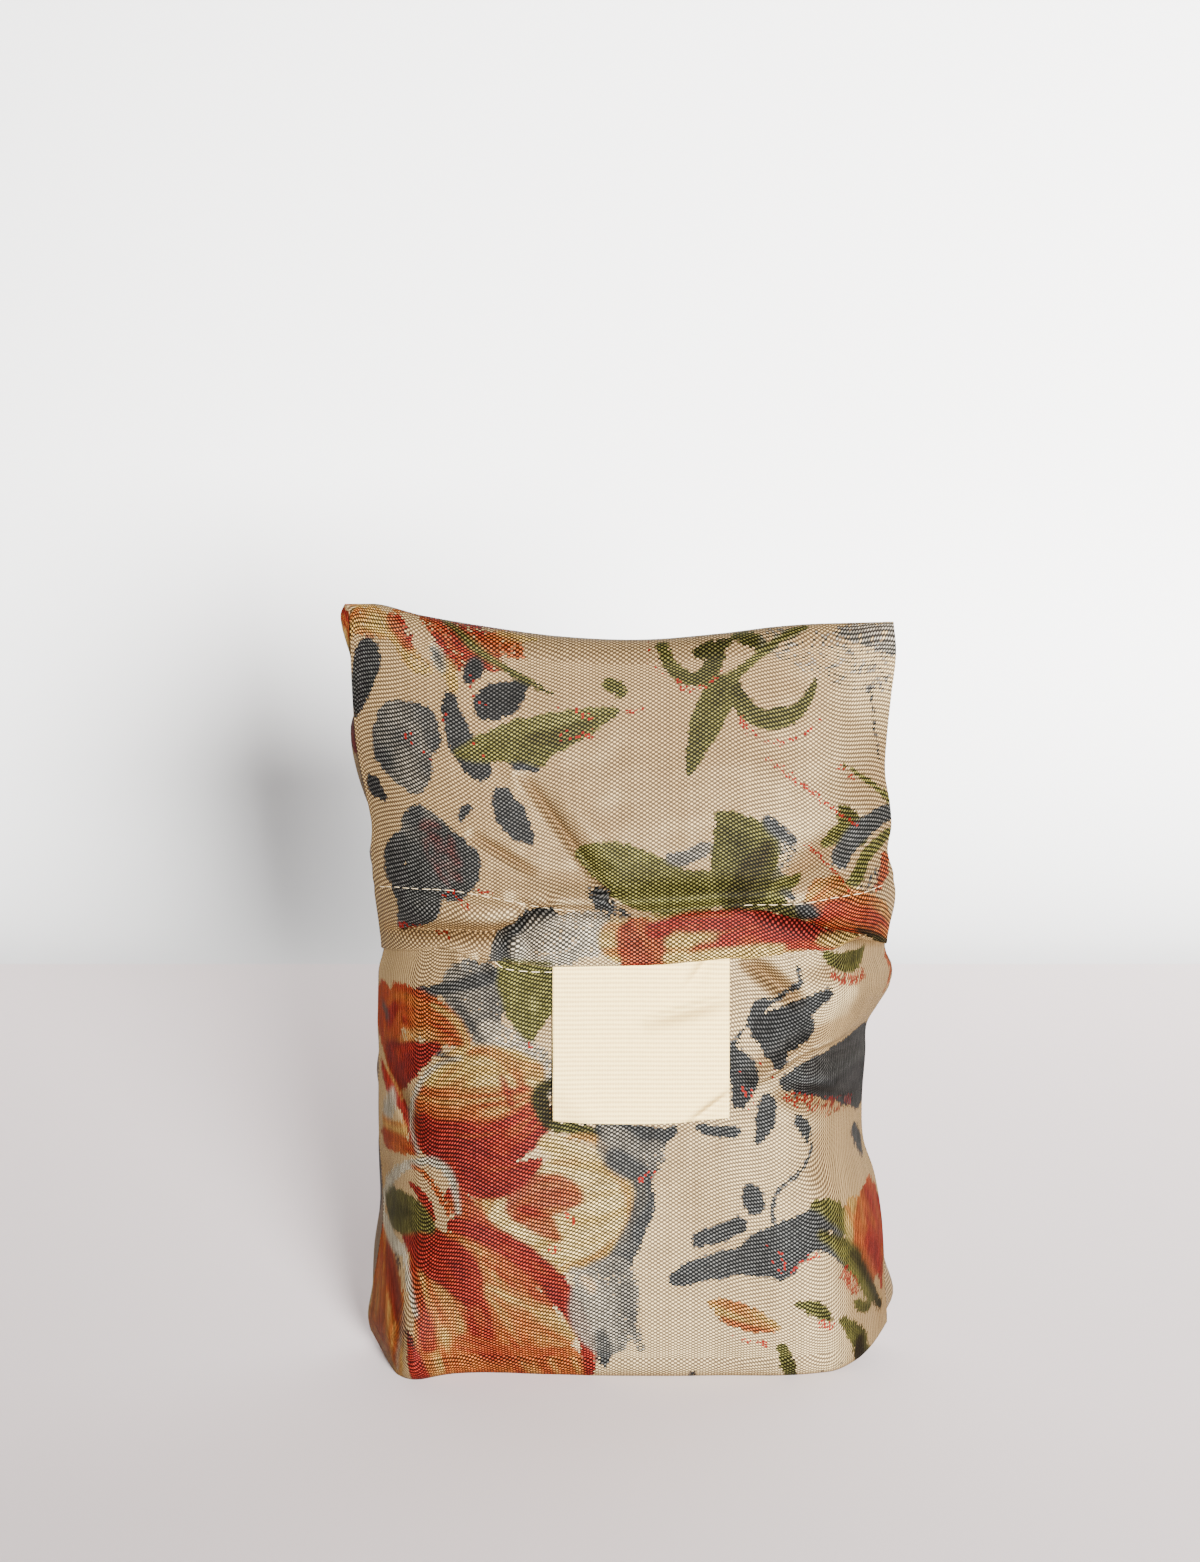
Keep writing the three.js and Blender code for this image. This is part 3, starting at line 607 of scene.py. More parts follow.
POCKET_PRINT = [
    Stroke("charcoal", 470, 985, 480, 1010, 482, 1042, 62, 48, 14, 0.4, 0.4, 0.85),
    Stroke("charcoal", 490, 1040, 520, 1060, 548, 1080, 36, 50, 34, 0.08, 0.08, 0.7),
    Stroke("charcoal", 419, 992, 460, 984, 504, 972, 8, 15, 15, 0.6, 0.65, 1),
    Stroke("charcoal", 455, 1000, 468, 1020, 480, 1042, 8, 9, 7, 0.75, 0.75, 0.7),
    Stroke("leaf", 520, 962, 524, 992, 528, 1036, 42, 48, 14, 0.4, 0.45, 1),
    Stroke("leaf", 545, 963, 547, 992, 538, 1026, 20, 24, 12, 0.4, 0.4, 1),
    Stroke("leaf", 531, 1000, 532, 1004, 534, 1008, 8, 9, 8, 0, 0, 0.6),
    Stroke("flower", 392, 996, 412, 995, 432, 1002, 4, 6, 5, 0.4, 0.4, 0.9),
    Stroke("flower", 400, 1008, 425, 1014, 464, 1043, 26, 46, 14, 0.68, 0.66, 0.95),
    Stroke("flower", 432, 1004, 454, 1022, 469, 1046, 4, 8, 5, 0.35, 0.35, 1),
    Stroke("flower", 392, 1012, 386, 1035, 393, 1066, 34, 46, 38, 0.7, 0.74, 1),
    Stroke("flower", 398, 1046, 418, 1034, 442, 1044, 5, 10, 6, 0.42, 0.45, 0.7),
    Stroke("flower", 394, 1072, 406, 1060, 436, 1046, 26, 32, 10, 0.92, 0.95, 1),
    Stroke("flower", 386, 1078, 402, 1104, 416, 1150, 20, 17, 9, 0.88, 0.9, 1),
    Stroke("flower", 385, 1067, 393, 1080, 401, 1099, 2, 3, 2, 0.3, 0.3, 0.8),
    Stroke("white", 394, 1090, 391, 1104, 385, 1118, 4, 13, 13, 0.8, 0.8, 0.7),
    Stroke("charcoal", 394, 1092, 391, 1104, 386, 1116, 6, 14, 12, 0.2, 0.2, 0.5),
    Stroke("flower", 384, 1122, 392, 1128, 403, 1130, 8, 14, 12, 0.4, 0.4, 1),
    Stroke("flower", 384, 1138, 396, 1142, 410, 1148, 12, 18, 12, 0.68, 0.68, 1),
    Stroke("flower", 432, 1100, 470, 1076, 524, 1076, 44, 60, 44, 0.28, 0.34, 1),
    Stroke("flower", 470, 1053, 505, 1057, 523, 1092, 8, 14, 8, 0.5, 0.5, 0.85),
    Stroke("flower", 430, 1108, 478, 1108, 524, 1098, 44, 40, 24, 0.52, 0.56, 0.95),
    Stroke("flower", 428, 1132, 482, 1146, 541, 1112, 42, 50, 24, 0.72, 0.8, 1),
    Stroke("flower", 424, 1124, 450, 1150, 505, 1162, 20, 38, 18, 0.9, 0.92, 1),
    Stroke("flower", 500, 1076, 507, 1090, 512, 1108, 5, 9, 4, 0.78, 0.78, 0.8),
    Stroke("flower", 546, 1127, 530, 1146, 500, 1166, 7, 12, 12, 0.92, 0.92, 1),
    Stroke("white", 461, 1058, 432, 1068, 416, 1092, 3, 5, 5, 0.7, 0.7, 0.9),
    Stroke("white", 416, 1092, 411, 1115, 418, 1153, 5, 5, 4, 0.7, 0.7, 0.9),
    Stroke("charcoal", 440, 1053, 448, 1056, 456, 1060, 6, 8, 4, 0.6, 0.6, 0.7),
    Stroke("leaf", 553, 1084, 540, 1098, 548, 1122, 10, 18, 15, 0.8, 0.88, 1),
    Stroke("leaf", 552, 1126, 575, 1130, 599, 1133, 6, 12, 8, 0.6, 0.65, 0.95),
    Stroke("flower", 550, 1146, 576, 1156, 600, 1172, 20, 32, 30, 0.06, 0.06, 0.85),
    Stroke("flower", 568, 1138, 598, 1142, 611, 1171, 5, 9, 7, 0.4, 0.38, 0.9),
    Stroke("flower", 490, 1196, 505, 1226, 530, 1250, 26, 46, 30, 0.42, 0.4, 1),
    Stroke("flower", 505, 1222, 560, 1206, 612, 1192, 40, 96, 70, 0.1, 0.14, 0.95),
    Stroke("flower", 530, 1252, 562, 1246, 602, 1236, 24, 40, 40, 0.14, 0.16, 0.95),
    Stroke("flower", 603, 1166, 632, 1200, 618, 1242, 8, 11, 10, 0.38, 0.4, 0.95),
    Stroke("flower", 613, 1245, 590, 1262, 558, 1270, 10, 12, 8, 0.36, 0.4, 0.95),
    Stroke("flower", 556, 1164, 585, 1166, 612, 1176, 6, 10, 8, 0.34, 0.34, 0.9),
    Stroke("flower", 518, 1208, 545, 1194, 572, 1196, 30, 46, 22, 0.72, 0.7, 0.9),
    Stroke("flower", 524, 1214, 545, 1226, 559, 1238, 20, 22, 4, 0.72, 0.74, 0.9),
    Stroke("flower", 463, 1166, 492, 1180, 534, 1166, 34, 42, 16, 0.88, 0.85, 1),
    Stroke("flower", 456, 1196, 484, 1232, 532, 1272, 22, 24, 16, 0.84, 0.82, 1),
    Stroke("flower", 456, 1204, 505, 1246, 548, 1288, 16, 24, 16, 0.66, 0.7, 1),
    Stroke("flower", 420, 1250, 480, 1304, 536, 1374, 44, 112, 112, 0.66, 0.55, 1),
    Stroke("flower", 428, 1290, 436, 1336, 446, 1376, 36, 56, 60, 0.5, 0.5, 1),
    Stroke("flower", 480, 1280, 516, 1306, 562, 1334, 8, 30, 34, 0.42, 0.4, 0.8),
    Stroke("flower", 436, 1284, 450, 1312, 462, 1346, 8, 18, 12, 0.45, 0.45, 0.6),
    Stroke("flower", 408, 1238, 440, 1260, 470, 1292, 22, 52, 30, 0.9, 0.86, 1),
    Stroke("flower", 452, 1226, 534, 1266, 589, 1340, 14, 26, 17, 0.84, 0.88, 1),
    Stroke("flower", 584, 1336, 589, 1355, 590, 1374, 16, 13, 11, 0.9, 0.9, 1),
    Stroke("flower", 458, 1272, 478, 1312, 490, 1352, 26, 26, 22, 0.84, 0.78, 0.9),
    Stroke("flower", 412, 1268, 424, 1320, 430, 1348, 14, 20, 16, 0.8, 0.76, 0.9),
    Stroke("flower", 468, 1342, 505, 1352, 548, 1352, 26, 26, 14, 0.72, 0.7, 0.85),
    Stroke("flower", 440, 1370, 510, 1368, 576, 1370, 6, 10, 10, 0.4, 0.42, 0.9),
    Stroke("flower", 409, 1334, 414, 1360, 420, 1383, 6, 22, 26, 0.94, 0.92, 1),
    Stroke("flower", 386, 1255, 388, 1300, 384, 1348, 40, 80, 70, 0.58, 0.5, 1),
    Stroke("flower", 388, 1252, 392, 1280, 397, 1312, 16, 32, 16, 0.84, 0.84, 0.9),
    Stroke("flower", 379, 1340, 386, 1362, 399, 1377, 30, 44, 26, 0.42, 0.42, 0.95),
    Stroke("white", 403, 1312, 400, 1340, 398, 1368, 3, 4, 3, 0.8, 0.8, 0.8),
    Stroke("white", 384, 1202, 396, 1173, 420, 1161, 7, 8, 7, 0.7, 0.7, 0.95),
    Stroke("white", 420, 1161, 445, 1170, 457, 1212, 8, 10, 4, 0.7, 0.7, 0.95),
    Stroke("flower", 412, 1166, 429, 1180, 447, 1213, 4, 8, 6, 0.62, 0.6, 0.9),
    Stroke("flower", 412, 1186, 422, 1197, 434, 1217, 6, 13, 6, 0.88, 0.88, 1),
    Stroke("leaf", 391, 1212, 408, 1212, 429, 1225, 22, 37, 16, 0.55, 0.6, 1),
    Stroke("leaf", 406, 1198, 409, 1214, 414, 1230, 6, 12, 10, 0.95, 0.95, 0.6),
    Stroke("white", 384, 1216, 390, 1233, 403, 1252, 10, 16, 10, 0.5, 0.5, 1),
    Stroke("white", 403, 1249, 408, 1274, 415, 1316, 10, 9, 5, 0.5, 0.5, 1),
    Stroke("charcoal", 395, 1254, 397, 1260, 399, 1268, 5, 6, 4, 0.8, 0.8, 0.8),
    Stroke("charcoal", 406, 1330, 409, 1337, 413, 1345, 4, 6, 4, 0.8, 0.8, 0.8),
    Stroke("charcoal", 605, 1130, 640, 1138, 673, 1131, 16, 26, 10, 0.65, 0.65, 1),
    Stroke("charcoal", 616, 1148, 640, 1160, 656, 1150, 40, 40, 20, 0.36, 0.4, 0.8),
    Stroke("charcoal", 606, 1128, 622, 1145, 626, 1165, 12, 26, 26, 0.3, 0.36, 0.8),
    Stroke("charcoal", 698, 1128, 716, 1131, 735, 1131, 6, 13, 10, 0.6, 0.6, 1),
    Stroke("charcoal", 616, 1158, 643, 1194, 620, 1260, 24, 22, 24, 0.5, 0.55, 0.95),
    Stroke("charcoal", 612, 1274, 604, 1304, 606, 1338, 40, 70, 46, 0.26, 0.26, 0.8),
    Stroke("charcoal", 574, 1272, 598, 1300, 605, 1344, 12, 28, 22, 0.16, 0.16, 0.8),
    Stroke("charcoal", 600, 1334, 604, 1350, 603, 1363, 15, 17, 10, 0.55, 0.55, 0.85),
    Stroke("charcoal", 626, 1290, 633, 1320, 641, 1350, 14, 11, 8, 0.35, 0.35, 0.8),
    Stroke("ground", 585, 1278, 588, 1283, 591, 1289, 7, 11, 7, 0.5, 0.5, 1),
    Stroke("charcoal", 797, 966, 801, 980, 797, 986, 4.5, 5, 5, 0.6, 0.6, 1),
    Stroke("charcoal", 797, 986, 781, 996, 764, 1004, 5, 5, 5, 0.6, 0.6, 1),
    Stroke("charcoal", 827, 993, 811, 1004, 790, 1018, 12, 19, 25, 0.8, 0.8, 1),
    Stroke("charcoal", 764, 1002, 758, 1012, 751, 1023, 12, 14, 9, 0.7, 0.7, 1),
    Stroke("charcoal", 762, 1031, 785, 1030, 804, 1028, 26, 44, 24, 0.85, 0.85, 1),
    Stroke("charcoal", 772, 1046, 780, 1058, 776, 1066, 26, 18, 8, 0.8, 0.8, 1),
    Stroke("charcoal", 728, 1062, 744, 1074, 738, 1102, 32, 32, 16, 0.75, 0.75, 1),
    Stroke("charcoal", 742, 1032, 736, 1040, 730, 1050, 4, 6, 8, 0.6, 0.6, 0.8),
    Stroke("charcoal", 788, 1083, 830, 1066, 863, 1046, 22, 42, 44, 0.6, 0.7, 1),
    Stroke("charcoal", 798, 1091, 835, 1088, 863, 1080, 12, 28, 40, 0.75, 0.85, 1),
    Stroke("charcoal", 768, 1098, 765, 1116, 757, 1140, 12, 22, 9, 0.65, 0.65, 1),
    Stroke("charcoal", 797, 1117, 802, 1127, 807, 1137, 8, 13, 7, 0.6, 0.6, 1),
    Stroke("charcoal", 853, 1127, 857, 1138, 862, 1151, 8, 12, 5, 0.6, 0.6, 1),
    Stroke("charcoal", 750, 1190, 753, 1200, 756, 1210, 12, 21, 10, 0.6, 0.6, 1),
    Stroke("charcoal", 703, 1238, 722, 1231, 739, 1225, 19, 19, 18, 0.6, 0.6, 1),
    Stroke("charcoal", 806, 1139, 811, 1152, 795, 1178, 4.5, 4.5, 4.5, 0.5, 0.5, 0.95),
    Stroke("charcoal", 795, 1178, 775, 1195, 773, 1222, 4.5, 5, 5, 0.5, 0.5, 0.95),
    Stroke("charcoal", 676, 1278, 708, 1268, 746, 1260, 16, 26, 24, 0.55, 0.55, 1),
    Stroke("charcoal", 745, 1259, 776, 1250, 817, 1224, 26, 52, 36, 0.6, 0.65, 1),
    Stroke("charcoal", 768, 1260, 780, 1264, 788, 1270, 22, 30, 18, 0.65, 0.65, 1),
    Stroke("charcoal", 828, 1220, 836, 1228, 842, 1235, 10, 8, 4, 0.55, 0.55, 1),
    Stroke("charcoal", 822, 1241, 838, 1250, 850, 1266, 16, 18, 6, 0.6, 0.6, 1),
    Stroke("leaf", 817, 1203, 838, 1214, 853, 1235, 12, 18, 9, 0.5, 0.5, 1),
    Stroke("flower", 850, 1206, 857, 1222, 864, 1240, 14, 26, 18, 0.4, 0.45, 0.95),
    Stroke("flower", 862, 1202, 868, 1222, 878, 1252, 20, 52, 40, 0.6, 0.75, 1),
    Stroke("flower", 870, 1235, 878, 1255, 882, 1286, 16, 16, 6, 0.82, 0.82, 1),
    Stroke("leaf", 821, 1233, 841, 1245, 857, 1263, 7, 14, 19, 0.5, 0.65, 1),
    Stroke("leaf", 850, 1256, 866, 1278, 880, 1306, 9, 13, 8, 0.8, 0.85, 1),
    Stroke("leaf", 824, 1236, 846, 1258, 872, 1300, 5, 7, 6, 0.45, 0.5, 1),
    Stroke("flower", 708, 1304, 742, 1316, 777, 1330, 4, 25, 4, 0.4, 0.45, 1),
    Stroke("flower", 722, 1317, 745, 1327, 773, 1331, 4, 7, 3, 0.64, 0.64, 1),
    Stroke("leaf", 799, 1304, 814, 1310, 830, 1317, 6, 15, 8, 0.6, 0.6, 1),
    Stroke("leaf", 855, 1302, 862, 1306, 870, 1308, 5, 9, 6, 0.55, 0.55, 1),
    Stroke("leaf", 842, 1319, 856, 1336, 867, 1356, 8, 19, 14, 0.55, 0.65, 1),
    Stroke("leaf", 858, 1343, 864, 1351, 866, 1358, 14, 17, 12, 1, 1, 1),
    Stroke("leaf", 782, 1347, 786, 1362, 791, 1377, 8, 15, 10, 0.6, 0.7, 1),
    Stroke("charcoal", 683, 1371, 688, 1373, 693, 1372, 5, 6, 5, 0.85, 0.85, 1),
    Stroke("charcoal", 820, 1372, 830, 1368, 842, 1362, 2, 2.5, 2, 0.6, 0.6, 0.6),
    Stroke("leaf", 825, 953, 842, 961, 858, 956, 8, 18, 16, 0.55, 0.6, 1),
    Stroke("flower", 889, 950, 890, 965, 884, 991, 9, 9, 4, 0.7, 0.7, 1),
    Stroke("charcoal", 384, 1006, 386, 1012, 387, 1019, 6, 8, 4, 0.55, 0.55, 0.9),
]

# The back's flowers, each with its petals round a green eye, and the strokes that are laid before
# them and over them.
Blossom = namedtuple("Blossom", "s h reach turn petals")
BACK_BLOSSOMS = [
    Blossom(-47, 6, 17, 0.3, 5),
    Blossom(20, 62, 24, 0.1, 6),
    Blossom(-36, 128, 21, 0.8, 5),
    Blossom(57, 124, 15, 0.5, 5),
]
BACK_UNDER = [
    Stroke("flower", -60, 4, -58.5, 16, -58, 30, 5, 6, 3, 0.95, 0.95, 1),
    Stroke("charcoal", -59, 56, -58, 66, -59, 78, 4, 6, 4, 0.75, 0.75, 1),
    Stroke("charcoal", 38, 0, 48, 4, 57, 8, 6, 9, 8, 0.55, 0.5, 0.6),
    Stroke("charcoal", 30, 6, 42, 14, 52, 20, 3, 8, 4, 0.45, 0.45, 0.4),
    Stroke("charcoal", -12, 52, -2, 66, 4, 84, 8, 14, 9, 0.5, 0.55, 0.7),
    Stroke("charcoal", 34, 84, 44, 78, 52, 66, 6, 11, 5, 0.6, 0.6, 0.9),
    Stroke("charcoal", -50, 34, -46, 42, -47, 50, 4, 10, 5, 0.8, 0.75, 1),
    Stroke("charcoal", -38, 33, -33, 39, -29, 47, 4, 9, 4, 0.75, 0.75, 1),
    Stroke("charcoal", -52, 58, -47, 63, -42, 65, 3, 7, 4, 0.7, 0.75, 1),
]
BACK_OVER = [
    Stroke("charcoal", -37, 56, -31, 60, -27, 67, 4, 8, 5, 0.85, 0.8, 1),
    Stroke("charcoal", -46, 74, -40, 78, -36, 85, 3, 6, 3, 0.7, 0.7, 1),
    Stroke("charcoal", -24, 76, -21, 80, -19, 86, 2, 5, 2, 0.65, 0.65, 1),
    Stroke("charcoal", -54, 84, -52, 90, -53, 96, 2, 5, 3, 0.75, 0.75, 1),
    Stroke("charcoal", 8, 112, 20, 118, 34, 114, 4, 9, 5, 0.6, 0.65, 1),
    Stroke("charcoal", 30, 114, 38, 122, 40, 132, 6, 10, 4, 0.65, 0.6, 0.95),
    Stroke("charcoal", 12, 130, 16, 134, 22, 136, 3, 5, 2, 0.7, 0.7, 1),
    Stroke("charcoal", 2, 140, 6, 143, 12, 144, 2, 4, 2, 0.7, 0.7, 1),
    Stroke("charcoal", 49, 40, 52, 46, 52, 54, 3, 6, 3, 0.7, 0.7, 1),
    Stroke("charcoal", -8, 106, -6, 112, -8, 119, 3, 6, 3, 0.6, 0.65, 1),
    Stroke("leaf", -30, 0, -22, 12, -12, 24, 1.5, 2, 1.2, 0.45, 0.6, 1),
    Stroke("leaf", 4, 2, 8, 14, 2, 26, 5, 8, 1.5, 0.4, 0.55, 1),
    Stroke("leaf", 8, 12, 18, 22, 30, 18, 3, 5, 1, 0.5, 0.6, 1),
    Stroke("leaf", 38, 0, 30, 8, 22, 14, 1.5, 1.6, 2, 0.4, 0.4, 1),
    Stroke("leaf", -12, 38, -2, 42, 8, 40, 2, 9, 3, 0.35, 0.5, 1),
    Stroke("leaf", 36, 40, 42, 34, 50, 30, 4, 9, 2, 0.4, 0.5, 1),
    Stroke("leaf", 28, 88, 24, 98, 16, 104, 5, 10, 3, 0.55, 0.45, 1),
    Stroke("leaf", 24, 90, 22, 97, 17, 101, 2, 4, 1, 0.95, 0.9, 0.7),
    Stroke("leaf", -26, 104, -16, 98, -6, 98, 3, 8, 2, 0.4, 0.5, 1),
    Stroke("leaf", -54, 110, -56, 118, -56, 130, 5, 8, 5, 0.8, 0.85, 1),
    Stroke("leaf", -16, 142, -8, 136, 0, 134, 3, 8, 2, 0.5, 0.4, 1),
    Stroke("leaf", 40, 142, 46, 148, 54, 150, 3, 6, 2, 0.6, 0.6, 1),
    Stroke("flower", 30, 26, 34, 28, 40, 28, 1.5, 4, 1, 0.4, 0.45, 1),
    Stroke("flower", -8, 88, -3, 90, 4, 90, 1.5, 4.5, 1, 0.42, 0.5, 1),
    Stroke("flower", 46, 100, 52, 98, 57, 92, 2, 6, 4, 0.8, 0.7, 1),
]

# A petal's strokes by their shares of the flower's reach, out from its middle as x and aside as y,
# with widths as shares of the petal's. The eye's strokes are in millimetres from the middle.
PETAL = [
    Stroke("flower", 0.2, 0, 0.55, 0.05, 0.8, 0.02, 0.5, 1.25, 1, 0.8, 0.5, 1),
    Stroke("flower", 0.35, -0.05, 0.6, -0.08, 0.85, -0.04, 0.2, 0.6, 0.5, 0.35, 0.25, 0.9),
    Stroke("flower", 0.3, 0.18, 0.6, 0.3, 0.95, 0.2, 0.2, 0.3, 0.2, 0.92, 0.85, 1),
]
EYE = [
    Stroke("white", -2, 0, 0, 1, 2, 0, 6, 8.5, 6, 0.5, 0.5, 1),
    Stroke("leaf", -2, 0, 0, 1, 2, 0, 3, 5, 3, 0.6, 0.8, 1),
]

# Where red dots lie one by one, again along smooth lines with their widths.
Sprinkle = namedtuple("Sprinkle", "x0 y0 x1 y1 x2 y2 start middle end cover")
FLAP_DOTS = [
    Sprinkle(555, 737, 573, 735, 594, 733, 8, 10, 8, 0.22),
    Sprinkle(560, 706, 575, 711, 590, 716, 8, 8, 8, 0.35),
    Sprinkle(625, 712, 638, 711, 640, 712, 3, 4, 3, 0.5),
    Sprinkle(672, 679, 694, 691, 722, 670, 4, 4, 4, 0.6),
    Sprinkle(640, 640, 660, 668, 668, 674, 4, 6, 6, 0.2),
    Sprinkle(741, 720, 757, 736, 778, 742, 4, 4, 4, 0.65),
    Sprinkle(778, 742, 800, 735, 818, 722, 4, 4, 4, 0.5),
    Sprinkle(769, 759, 797, 780, 838, 812, 2.5, 3, 3, 1),
    Sprinkle(838, 812, 848, 819, 857, 826, 3, 3, 2.5, 1),
    Sprinkle(806, 844, 828, 866, 849, 889, 2.5, 3, 3, 1),
    Sprinkle(838, 766, 845, 770, 856, 782, 3, 4, 3, 0.5),
    Sprinkle(448, 892, 460, 898, 472, 906, 12, 16, 10, 0.3),
    Sprinkle(402, 925, 424, 930, 446, 934, 8, 10, 8, 0.5),
    Sprinkle(478, 890, 484, 892, 490, 896, 6, 8, 4, 0.4),
    Sprinkle(458, 680, 478, 690, 496, 700, 8, 26, 10, 0.05),
    Sprinkle(400, 735, 425, 745, 440, 755, 8, 20, 10, 0.04),
    Sprinkle(440, 710, 460, 740, 480, 770, 14, 24, 14, 0.05),
]
POCKET_DOTS = [
    Sprinkle(786, 1096, 810, 1104, 850, 1100, 7, 14, 10, 0.35),
    Sprinkle(763, 1063, 768, 1072, 773, 1080, 8, 10, 8, 0.15),
    Sprinkle(737, 1075, 745, 1090, 750, 1105, 10, 14, 8, 0.08),
    Sprinkle(731, 1337, 732, 1337, 733, 1338, 3, 4, 3, 0.9),
    Sprinkle(745, 1339, 746, 1340, 747, 1341, 4, 5, 4, 0.9),
    Sprinkle(758, 1342, 762, 1343, 766, 1346, 4, 5, 4, 0.95),
    Sprinkle(819, 1321, 826, 1325, 834, 1326, 5, 6, 5, 0.9),
    Sprinkle(843, 1273, 850, 1281, 857, 1289, 9, 10, 8, 0.8),
    Sprinkle(795, 1272, 806, 1263, 816, 1254, 7, 9, 6, 0.5),
    Sprinkle(768, 1250, 775, 1258, 783, 1268, 10, 14, 10, 0.3),
    Sprinkle(831, 975, 848, 980, 864, 972, 5, 9, 8, 0.75),
    Sprinkle(640, 1176, 646, 1178, 652, 1173, 6, 8, 6, 0.45),
    Sprinkle(528, 1043, 530, 1045, 532, 1047, 3, 4, 3, 0.8),
    Sprinkle(567, 1213, 570, 1218, 572, 1224, 5, 6, 4, 0.7),
    Sprinkle(551, 1246, 553, 1249, 555, 1251, 4, 5, 4, 0.8),
]
BACK_DOTS = [
    Sprinkle(-14, 20, -2, 34, 12, 50, 0.8, 1, 1, 0.9),
    Sprinkle(8, 24, 18, 26, 28, 23, 1.5, 1.5, 1.2, 0.5),
    Sprinkle(-50, 44, -42, 52, -36, 60, 4, 6, 4, 0.2),
    Sprinkle(30, 84, 40, 88, 50, 80, 2, 4, 2, 0.5),
    Sprinkle(12, 124, 22, 126, 30, 122, 1.5, 2.5, 1.5, 0.7),
    Sprinkle(-20, 112, -14, 120, -10, 130, 0.8, 0.8, 0.8, 0.8),
]


def smoothstep(low, high, at):
    share = np.clip((at - low) / (high - low), 0, 1)
    return share * share * (3 - 2 * share)


def curve(table, along, of):
    """A smooth curve through one column of a table, level beyond its ends."""
    at = np.array([getattr(row, along) for row in table], float)
    value = np.array([getattr(row, of) for row in table], float)
    number = np.arange(len(table))
    before = np.maximum(number - 1, 0)
    after = np.minimum(number + 1, len(table) - 1)
    slope = (value[after] - value[before]) / (at[after] - at[before])

    def read(where):
        where = np.clip(where, at[0], at[-1])
        i = np.clip(np.searchsorted(at, where, side="right") - 1, 0, len(table) - 2)
        run = at[i + 1] - at[i]
        share = (where - at[i]) / run
        rise = value[i + 1] - value[i]
        bend = slope[i] * run - rise
        unbend = rise - slope[i + 1] * run
        return value[i] + share * rise + share * (1 - share) * ((1 - share) * bend + share * unbend)

    return read


def both(table, along, names):
    """Smooth curves through several columns of a table, by their names."""
    return {name: curve(table, along, name) for name in names}


depth = both(DEPTHS, "z", ("front", "back"))
power = curve(DEPTHS, "z", "power")
outline = both(OUTLINE, "z", ("left", "right"))
wrap = both(WRAP, "z", ("left", "right"))
top_edge = curve(TOP_EDGE, "u", "z")
foot_edge = curve(FOOT_EDGE, "u", "z")
flap_edge = curve(FLAP_EDGE, "x", "z")
stitch_line = curve(STITCH_LINE, "x", "z")
stitch_pull = both(STITCH_PULL, "x", ("dip", "roll"))
label_bottom = curve(LABEL_BOTTOM, "x", "z")
pocket_stitches = curve(POCKET_STITCHES, "x", "z")


def by_side(curves, u, z):
    """One curve on the left of the middle and the other on the right."""
    return np.where(u < 0, curves["left"](z), curves["right"](z))


def relief(folds, x, z):
    """The height that the folds add at each place."""
    total = np.zeros(np.broadcast(x, z).shape)
    for fold in folds:
        dx, dz = fold.x1 - fold.x0, fold.z1 - fold.z0
        length = math.hypot(dx, dz)
        along = ((x - fold.x0) * dx + (z - fold.z0) * dz) / length**2
        on = np.clip(along, 0, 1)
        aside = ((z - fold.z0) * dx - (x - fold.x0) * dz) / length
        past = (along - on) * length
        width = np.where(aside > 0, fold.width * fold.lean, fold.width / fold.lean)
        fade = 1 - FOLD_END_LOSS * (2 * on - 1) ** 2
        total += fold.rise * fade * np.exp(-2 * ((aside / width) ** 2 + (past / fold.width) ** 2))
    return total


def lumps(x, z):
    return sum(
        lump.out * np.exp(-(((x - lump.x) / lump.wide) ** 2) - ((z - lump.z) / lump.tall) ** 2)
        for lump in FRONT_LUMPS
    )


def soft_noise(x, z, noise):
    """Smooth unevenness over a plane, as strong as the noise is each way."""
    knots = np.random.default_rng(noise.seed).uniform(-1, 1, (KNOTS, KNOTS))
    gx, gz = x / noise.pitch + KNOTS / 2, z / noise.pitch + KNOTS / 2
    i, j = np.floor(gx).astype(int), np.floor(gz).astype(int)
    a, b = gx - i, gz - j
    a, b = a * a * (3 - 2 * a), b * b * (3 - 2 * b)
    near = knots[i % KNOTS, j % KNOTS] * (1 - a) + knots[(i + 1) % KNOTS, j % KNOTS] * a
    far = knots[i % KNOTS, (j + 1) % KNOTS] * (1 - a) + knots[(i + 1) % KNOTS, (j + 1) % KNOTS] * a
    return noise.strength * (near * (1 - b) + far * b)


def smoothed(grid, passes):
    """The grid with its small bumps ironed out, its rim free."""
    for _ in range(passes):
        padded = np.pad(grid, ((1, 1), (1, 1), (0, 0)), mode="reflect", reflect_type="odd")
        around = padded[:-2, 1:-1] + padded[2:, 1:-1] + padded[1:-1, :-2] + padded[1:-1, 2:]
        grid = (4 * grid + around) / 8
    return grid


def fullness(z):
    """How full the section is at a nominal height: 0 on the top fold, 1 over most of the pouch."""
    turn = np.clip((z - TOP + TOP_ROUND) / TOP_ROUND, 0, 1)
    foot = np.clip(1 - z / FOOT_ROUND, 0, 1)
    drawn_in = FOOT_INSET * (1 - np.sqrt(1 - foot * foot))
    return np.sqrt(1 - turn * turn) * (1 - drawn_in)


def real_height(u, z):
    return foot_edge(u) + (top_edge(u) - foot_edge(u)) * z / TOP


def nominal_height(u, real):
    return TOP * (real - foot_edge(u)) / (top_edge(u) - foot_edge(u))


